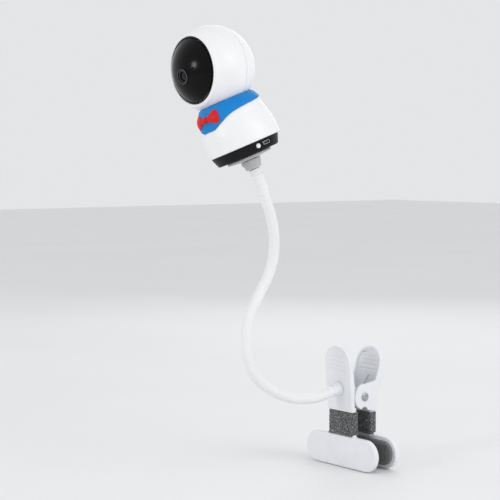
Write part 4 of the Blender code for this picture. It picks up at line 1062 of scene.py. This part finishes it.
def face():
    rim = lathe([(27.6, 21.2), (27.95, 20.7), (27.95, 18.6), (26.9, 18.6), (26.9, 21.2)],
                BALL @ FACING, 160, 0.2)
    piece("face_rim_moulded", rim, "ball", "rim", ["face_rim"])
    edge = math.degrees(math.asin(WINDOW_R / DOME_R))
    inner_edge = math.degrees(math.asin((WINDOW_R - 0.9) / (DOME_R - 1.5)))
    outer = ball_arc(DOME_R, 0.0, edge - 0.4, 34, -DOME_BACK)
    outer += ball_arc(DOME_R - 0.2, edge, edge, 2, -DOME_BACK)[:1]
    inner = ball_arc(DOME_R - 1.5, inner_edge, 0.0, 14, -DOME_BACK)
    window = lathe(outer + inner, BALL @ FACING, 192, 0.0)
    cut(window, rod(LENS_BORE_R, (0, -20, 0), (0, -45, 0), LENS, 96))
    sensor = BALL @ shift(SENSOR_X, 0, SENSOR_Z)
    cut(window, rod(0.75, (0, -25, 0), (0, -40, 0), sensor, 32))
    piece("face_window_polished", window, "ball", "window", ["face_window"])
    plug = lathe([(0, 29.2), (0.3, 29.2), (0.45, 29.6), (0.7, 29.75), (0.7, 28.0), (0, 28.0)],
                 sensor @ FACING, 32, 0.05)
    piece("light_sensor", plug, "ball", "rim")

    top = DOME_R
    bezel = lathe([(6.0, top + 0.25), (6.35, top - 0.05), (6.35, top - 3.0), (4.3, top - 3.0),
                   (4.3, top - 1.9), (4.6, top - 1.5), (4.75, top - 1.0), (5.05, top - 0.7),
                   (5.15, top - 0.25), (5.5, top + 0.05)], LENS @ FACING, 96, 0.12)
    piece("lens_bezel_stepped", bezel, "ball", "bezel", ["lens_bezel"])
    for number, (r, height) in enumerate(((6.02, 0.42), (4.72, -0.82)), 1):
        ring = lathe([(r - 0.2, top + height - 0.3), (r - 0.2, top + height), (r + 0.2, top + height),
                      (r + 0.2, top + height - 0.3)], LENS @ FACING, 96, 0.12)
        piece(f"lens_trim_ring_{number}", ring, "ball", "trim")
    curve = [(r, top - 0.95 - r * r * 0.055) for r in (0.6, 1.2, 1.8, 2.4, 3.0, 3.6, 4.0)]
    glass = lathe([(0, top - 0.95), *curve, (4.1, top - 3.0), (0, top - 3.0)], LENS @ FACING, 96, 0.0)
    piece("lens_glass_ground", glass, "ball", "glass", ["lens_glass"])


# ---------------------------------------------------------------- hidden pieces

def repaint():
    """Give the CAD pieces that stay shown the finish of what they are."""
    finishes = {
        "steel": ("neck_foot_screw", "mount_stud", "ballast_plate", "pan_motor", "tilt_motor", "tilt_axle",
                  *(f"neck_core_{k}" for k in range(1, 7))),
        "brass": ("threaded_insert",),
        "board": ("main_board", "sensor_board"),
        "base": ("speaker", "lens_barrel"),
        "nylon": ("pan_bearing_plate", "pan_gear", "pan_pinion", "tilt_yoke", "tilt_pinion", "tilt_gear"),
        "white": ("turntable", "slot_shield"),
    }
    for paint, nodes in finishes.items():
        for node in nodes:
            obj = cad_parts[node]
            obj.data.materials.clear()
            obj.data.materials.append(PAINT[paint])


# ---------------------------------------------------------------- stage

def area_light(name, at, target, size, power, color=(1.0, 1.0, 1.0)):
    data = bpy.data.lights.new(name, "AREA")
    data.shape = "RECTANGLE"
    data.size, data.size_y = size
    data.energy = power
    data.color = color
    obj = bpy.data.objects.new(name, data)
    obj.location = at
    obj.rotation_euler = (Vector(target) - Vector(at)).to_track_quat("-Z", "Y").to_euler()
    bpy.context.scene.collection.objects.link(obj)


def build_stage():
    floor_z = CAD_BOX[0][2] - 0.0006
    bm = bmesh.new()
    bmesh.ops.create_grid(bm, x_segments=1, y_segments=1, size=6.0)
    floor = new_object("floor", bm, Matrix.Translation((0, 0, floor_z)))
    paint = Paint("floor_pale", 0.75)
    paint.color(paint.noise(3.0), (0.3, (0.82, 0.82, 0.82)), (0.7, (0.84, 0.84, 0.84)))
    floor.data.materials.append(paint.mat)

    world = bpy.data.worlds.new("studio")
    world.use_nodes = True
    world.node_tree.nodes["Background"].inputs["Color"].default_value = (0.97, 0.98, 1.0, 1.0)
    world.node_tree.nodes["Background"].inputs["Strength"].default_value = 0.8
    bpy.context.scene.world = world
    bpy.context.scene.view_settings.view_transform = "Standard"
    area_light("key", (1.5, 0.35, 1.0), (0.0, -0.1, 0.22), (0.9, 0.9), 8.5)
    area_light("face_glow", (-0.085, -1.36, 0.47), (0.0, -0.174, 0.34), (0.24, 0.24), 2.8)
    area_light("back", (-0.9, 0.9, 0.8), (0.0, -0.1, 0.22), (0.8, 0.8), 2.0)

    data = bpy.data.cameras.new("camera")
    data.lens = 100.8
    data.sensor_width = 36.0
    data.clip_start = 0.05
    data.clip_end = 30.0
    cam = bpy.data.objects.new("camera", data)
    bpy.context.scene.collection.objects.link(cam)
    right = Vector((0.6282, 0.778, 0.0))
    up = Vector((-0.0503, 0.0406, 0.9979))
    back = Vector((0.7764, -0.6269, 0.0646))
    turn = Matrix((right, up, back)).transposed().to_4x4()
    cam.matrix_world = Matrix.Translation((0.929, -0.8638, 0.2648)) @ turn
    bpy.context.scene.camera = cam


foot_frame = build_clip()
build_neck(foot_frame)
body_shell()
scarf()
bow()
base_parts()
grille()
mount()
ball_shells()
face()
repaint()
build_stage()
